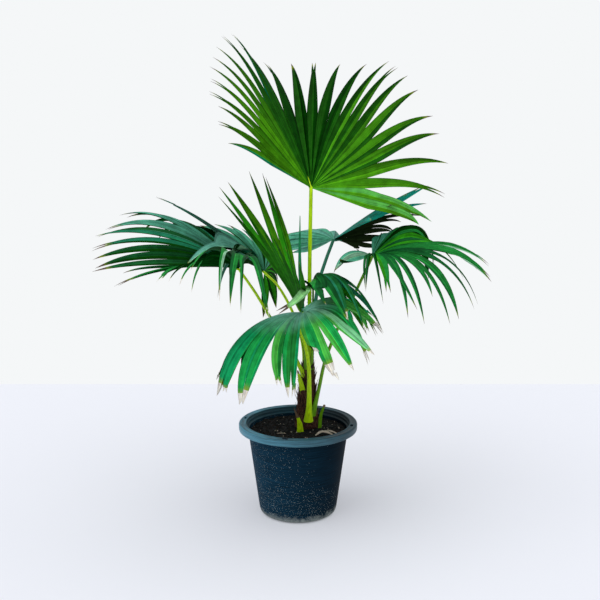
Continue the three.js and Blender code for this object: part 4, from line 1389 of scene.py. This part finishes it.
class PALM_OT_trunk(Operator):
    """Build the fibrous trunk with its torn sheaths and loose fibres"""

    bl_idname = "palm.trunk"
    bl_label = "Trunk"

    def execute(self, context):
        sizes = context.scene.palm_sizes
        trunk = linked("trunk_sheaths", trunk_mesh())
        trunk.data.materials.append(material_for("bark"))
        settle(trunk, "trunk", "trunk")
        flaps = chain_mesh("torn_sheaths", flap_chains(random.Random(sizes.seed)))
        bark = dict.fromkeys(("Shade 1", "Underside", "Dead", "Bleached"), material_for("bark"))
        flaps = grown("torn_sheaths", flaps, fan_tree(), {
            "Pleat": 0.2, "Thickness": 0.2, "Shade 2": material_for("thorn"), **bark})
        settle(flaps, "trunk")
        tree = scatter_tree("loose_fibres", {"Fibre": (1.0, 8, 20, dict(
            above=-0.6, shape="strand", turn_min=(-0.35, -0.35, 0), turn_max=(0.35, 0.35, 6.28)))})
        fibres = grown("loose_fibres", trunk.data.copy(), tree, {
            "Density": float(sizes.fibres), "Seed": sizes.seed, "Fibre": material_for("fibre")})
        settle(fibres, "trunk")
        return {"FINISHED"}


# ------------------------------------------------------------------ soil


def inner_radius(z):
    """Radius of the pot's inner wall at a height."""
    low, high = POT["corner_height"], POT["height"] - POT["lip_drop"]
    share = (z - low) / (high - low)
    return POT["base_radius"] + share * (POT["neck_radius"] - POT["base_radius"]) - POT["wall"]


def soil_top(x, y):
    """The height of the soil, with its lumps and heaps, at a spot."""
    span = SOIL["edge_radius"] - SOIL["flat_radius"]
    fall = max(0, (math.hypot(x, y) - SOIL["flat_radius"]) / span)
    lump = noise.fractal(
        Vector((x / SOIL["lump_size"], y / SOIL["lump_size"], 0)), 0.9, 2.1, 4)
    heap = noise.noise(Vector((x / SOIL["heap_size"], y / SOIL["heap_size"], 3)))
    level = SOIL["level"] - SOIL["settled"] - SOIL["dip"] * fall
    return level + SOIL["lump_rise"] * lump + SOIL["heap_rise"] * heap


def soil_mesh():
    """The soil as one closed body with a lumpy top that dips towards the pot's wall."""
    foot, steps = SOIL["foot"], SOIL["wall_rings"]
    bottom = inner_radius(foot) - 1
    walls = [(bottom * k / steps, foot) for k in range(1, steps + 1)]
    walls += [
        (inner_radius(z) - 1, z) for z in np.linspace(foot, SOIL["shoulder"], steps)[1:]]
    spokes = [(math.cos(a), math.sin(a)) for a in turns(SOIL["sides"])]
    rings = [[(radius * x, radius * y, z) for x, y in spokes] for radius, z in walls]
    for k in range(SOIL["rings"]):
        radius = SOIL["edge_radius"] * (1 - k / SOIL["rings"])
        ring = [(radius * x, radius * y) for x, y in spokes]
        rings.append([(x, y, soil_top(x, y)) for x, y in ring])
    return ring_mesh("potting_soil", rings)


class PALM_OT_soil(Operator):
    """Build the soil with its crumbs, grit and surface roots"""

    bl_idname = "palm.soil"
    bl_label = "Soil"

    def execute(self, context):
        sizes = context.scene.palm_sizes
        soil = linked("potting_soil", soil_mesh())
        soil.data.materials.append(material_for("soil"))
        settle(soil, "soil", "soil")
        tumble = dict(above=0.5, shape="lump", turn_min=(0, 0, 0), turn_max=(6.28, 6.28, 6.28))
        tree = scatter_tree("soil_crumbs", {
            "Soil": (0.5, 1.5, 6.5, tumble), "Bark": (0.42, 1.5, 5, tumble),
            "Grit": (0.05, 1.2, 4, tumble)})
        crumbs = grown("soil_crumbs", soil.data.copy(), tree, {
            "Density": float(sizes.crumbs), "Seed": sizes.seed, "Soil": material_for("soil"),
            "Bark": material_for("crumb"), "Grit": material_for("pebble")})
        settle(crumbs, "soil")
        roots = [stalk_chain(smooth_line(path, 24), radii, (0, 0, 1)) for path, radii in ROOTS]
        roots = grown("surface_roots", chain_mesh("surface_roots", roots), stalk_tree(), {
            "Sides": 8, "Upper depth": 0.8, "Lower depth": 0.8, "Channel": 0.0,
            "Thorn spacing": 1.0, "Thorn length": 0.0, "Thorns up to": -1.0,
            **dict.fromkeys(("Rind", "Dead", "Thorn"), material_for("pebble"))})
        settle(roots, "soil")
        return {"FINISHED"}


# ------------------------------------------------------------------ pot


def soften(points, radius, steps=4):
    """A profile with each inner corner turned into a short curve."""
    points = [np.array(p, float) for p in points]
    out = [points[0]]
    for a, b, c in zip(points, points[1:], points[2:]):
        reach = min(radius, np.linalg.norm(b - a) / 2.2, np.linalg.norm(c - b) / 2.2)
        p, q = b + unit(a - b) * reach, b + unit(c - b) * reach
        for t in np.linspace(0, 1, steps + 1):
            out.append(p * (1 - t) ** 2 + 2 * b * t * (1 - t) + q * t ** 2)
    return out + [points[-1]]


def pot_profile():
    """Radius and height round the pot's wall, from the underside's middle to the inner floor's."""
    wall, top, rim, mouth = (POT[k] for k in ("wall", "height", "rim_radius", "mouth_radius"))
    foot, base, neck = (POT[k] for k in ("foot_radius", "base_radius", "neck_radius"))
    lip_foot = top - POT["lip_drop"]
    under = top - wall - 1
    skirt = rim - POT["lip_wall"]
    outside = [
        (0, 0), (foot, 0), (base - 2, POT["corner_height"] * 0.4), (base, POT["corner_height"]),
        (neck, lip_foot), (mouth + 3, under), (skirt, under), (skirt, lip_foot),
        (rim - 0.6, lip_foot), (rim, lip_foot + 4), (rim, top - 3), (rim - 3, top),
        (rim - 7, top), (rim - 8, top - 0.8), (mouth + 5, top - 0.8), (mouth + 4, top),
        (mouth + 1, top), (mouth, top - 1.5),
    ]
    inside = [
        (mouth - 1, POT["ridge_top"]), (mouth - 3, POT["ridge_top"] - 1.5),
        (mouth - 3.4, POT["ridge_foot"] + 1.5), (neck - wall, POT["ridge_foot"]),
        (base - wall, POT["corner_height"]), (foot - wall, POT["floor"]), (0, POT["floor"]),
    ]
    return soften(outside + inside, POT["rounding"])


def cutters():
    """The slots of the rim and the drain holes, as one mesh of closed prisms."""
    bm = bmesh.new()
    prisms = []
    for i in range(RIM_SLOTS["count"]):
        angle = math.radians(RIM_SLOTS["first_angle"] + 360 * i / RIM_SLOTS["count"])
        corners = [
            (x * RIM_SLOTS["width"] / 2 + RIM_SLOTS["radius"], y * RIM_SLOTS["length"] / 2)
            for x, y in ((-1, -1), (1, -1), (1, 1), (-1, 1))]
        prisms.append((angle, corners, POT["height"] - POT["wall"], POT["height"] + 4))
    for angle in turns(DRAINS["count"]):
        corners = [
            (DRAINS["circle"] + DRAINS["radius"] * math.cos(a), DRAINS["radius"] * math.sin(a))
            for a in turns(DRAINS["sides"])]
        prisms.append((angle, corners, -4, POT["floor"] + 4))
    for angle, corners, low, high in prisms:
        spun = [(x * math.cos(angle) - y * math.sin(angle),
                 x * math.sin(angle) + y * math.cos(angle)) for x, y in corners]
        bottom, top = (
            [bm.verts.new((x * MM, y * MM, z * MM)) for x, y in spun] for z in (low, high))
        bm.faces.new(bottom[::-1])
        bm.faces.new(top)
        for k in range(len(corners)):
            n = (k + 1) % len(corners)
            bm.faces.new((bottom[k], bottom[n], top[n], top[k]))
    mesh = bpy.data.meshes.new("pot_cutters")
    bm.to_mesh(mesh)
    bm.free()
    return mesh


def in_slot(spot):
    """Whether a spot in metres is on a wall or the floor of one of the rim's slots."""
    low, high = (POT["height"] - POT["wall"] - 0.9) * MM, (POT["height"] - 1) * MM
    pitch = 360 / RIM_SLOTS["count"]
    first = RIM_SLOTS["first_angle"]
    turn = (math.degrees(math.atan2(spot.y, spot.x)) - first + pitch / 2) % pitch
    radius = math.hypot(spot.x, spot.y) / MM
    sideways = math.radians(turn - pitch / 2) * radius
    return (low < spot.z < high and abs(sideways) < RIM_SLOTS["length"] / 2 + 0.5
            and abs(radius - RIM_SLOTS["radius"]) < RIM_SLOTS["width"] / 2 + 0.5)


POT_LOOKS = ("pot", "rim", "mouth")


def pot_look(spot):
    """Which look of the pot a spot in metres has: its wall's, its rim's or its mouth's."""
    if spot.z <= (POT["height"] - POT["lip_drop"] - 0.5) * MM or in_slot(spot):
        return "pot"
    inside = math.hypot(spot.x, spot.y) < (POT["mouth_radius"] + 0.3) * MM
    # Inside the mouth the darkened look paints its shade.
    return "mouth" if inside else "rim"


class PALM_OT_pot(Operator):
    """Build the nursery pot"""

    bl_idname = "palm.pot"
    bl_label = "Pot"

    def execute(self, context):
        rings = [
            [(r * math.cos(a), r * math.sin(a), z) for a in turns(POT["sides"])]
            for r, z in pot_profile()[1:-1]]
        pot = linked("nursery_pot", ring_mesh("nursery_pot", rings))
        knife = linked("pot_knife", cutters())
        cut = pot.modifiers.new("slots", "BOOLEAN")
        cut.object = knife
        cut.operation = "DIFFERENCE"
        cut.solver = "EXACT"
        bpy.context.view_layer.update()
        evaluated = pot.evaluated_get(bpy.context.evaluated_depsgraph_get())
        mesh = bpy.data.meshes.new_from_object(evaluated)
        pot.modifiers.clear()
        pot.data = mesh
        bpy.data.objects.remove(knife)
        mesh.materials.clear()
        for look in POT_LOOKS:
            mesh.materials.append(material_for(look))
        for face in mesh.polygons:
            face.material_index = POT_LOOKS.index(pot_look(face.center))
        mesh.shade_smooth()
        mesh.set_sharp_from_angle(angle=math.radians(38))
        settle(pot, "pot", "pot")
        return {"FINISHED"}


# ------------------------------------------------------------------ stage


class PALM_OT_stage(Operator):
    """Set up the floor, the lights and the camera"""

    bl_idname = "palm.stage"
    bl_label = "Stage"

    def execute(self, context):
        colours = context.scene.palm_colours
        reach, back = FLOOR["reach"], FLOOR["back"]
        corners = [(-reach, -reach), (reach, -reach), (reach, back), (-reach, back)]
        mesh = bpy.data.meshes.new("floor")
        mesh.from_pydata([(x, y, FLOOR["level"]) for x, y in corners], [], [(0, 1, 2, 3)])
        floor = linked("floor", mesh)
        # A sheet of opal acrylic that is lit from below a little, so that shadows stay pale.
        sheet, tree, shader = surface("opal_acrylic_sheet", Roughness=0.85, Emission_Strength=0.25)
        shader.inputs["Base Color"].default_value = opaque(shaded(colours.floor, 0.76))
        shader.inputs["Emission Color"].default_value = opaque(colours.floor)
        mesh.materials.append(sheet)
        world = bpy.data.worlds.new("pale_room")
        context.scene.world = world
        world.use_nodes = True
        tree = world.node_tree
        tree.nodes.clear()
        seen = add(tree, "ShaderNodeBackground", {"Color": opaque(colours.wall), "Strength": 1.0})
        lit = add(tree, "ShaderNodeBackground", {"Color": (0.95, 0.97, 1.0, 1), "Strength": 0.5})
        ray = add(tree, "ShaderNodeLightPath")
        both = add(tree, "ShaderNodeMixShader", {
            "Fac": ray.outputs["Is Camera Ray"], 1: lit.outputs[0], 2: seen.outputs[0]})
        add(tree, "ShaderNodeOutputWorld", {"Surface": both.outputs[0]})
        for name, toward, strength, softness in LIGHTS:
            light = bpy.data.lights.new(name, "SUN")
            light.energy = strength
            light.angle = math.radians(softness)
            lamp = bpy.data.objects.new(name, light)
            lamp.rotation_euler = Vector(toward).to_track_quat("-Z", "Y").to_euler()
            context.collection.objects.link(lamp)
        eye = bpy.data.cameras.new("camera")
        eye.sensor_width = CAMERA["sensor"]
        eye.lens = CAMERA["lens"]
        camera = bpy.data.objects.new("camera", eye)
        camera.location = CAMERA["place"]
        camera.rotation_euler = (math.radians(90 - CAMERA["tilt"]), 0, 0)
        context.collection.objects.link(camera)
        context.scene.camera = camera
        context.scene.view_settings.view_transform = "Standard"
        return {"FINISHED"}


# ------------------------------------------------------------------ panel and registration


OPERATORS = (
    PALM_OT_stage, PALM_OT_pot, PALM_OT_soil, PALM_OT_trunk, PALM_OT_stalks, PALM_OT_shoots,
    PALM_OT_fronds,
)


class PALM_PT_panel(Panel):
    """The palm's pieces and settings in the sidebar"""

    bl_label = "Potted fan palm"
    bl_idname = "PALM_PT_panel"
    bl_space_type = "VIEW_3D"
    bl_region_type = "UI"
    bl_category = "Palm"

    def draw(self, context):
        for group in (context.scene.palm_sizes, context.scene.palm_colours):
            box = self.layout.box()
            for key in group.__annotations__:
                box.prop(group, key)
        for operator in OPERATORS:
            self.layout.operator(operator.bl_idname)


CLASSES = (PalmSizes, PalmColours, *OPERATORS, PALM_PT_panel)


def register():
    for item in CLASSES:
        bpy.utils.register_class(item)
    bpy.types.Scene.palm_sizes = PointerProperty(type=PalmSizes)
    bpy.types.Scene.palm_colours = PointerProperty(type=PalmColours)


def unregister():
    del bpy.types.Scene.palm_colours
    del bpy.types.Scene.palm_sizes
    for item in reversed(CLASSES):
        bpy.utils.unregister_class(item)


def main():
    register()
    for operator in OPERATORS:
        group, name = operator.bl_idname.split(".")
        getattr(getattr(bpy.ops, group), name)()


if __name__ == "__main__":
    main()
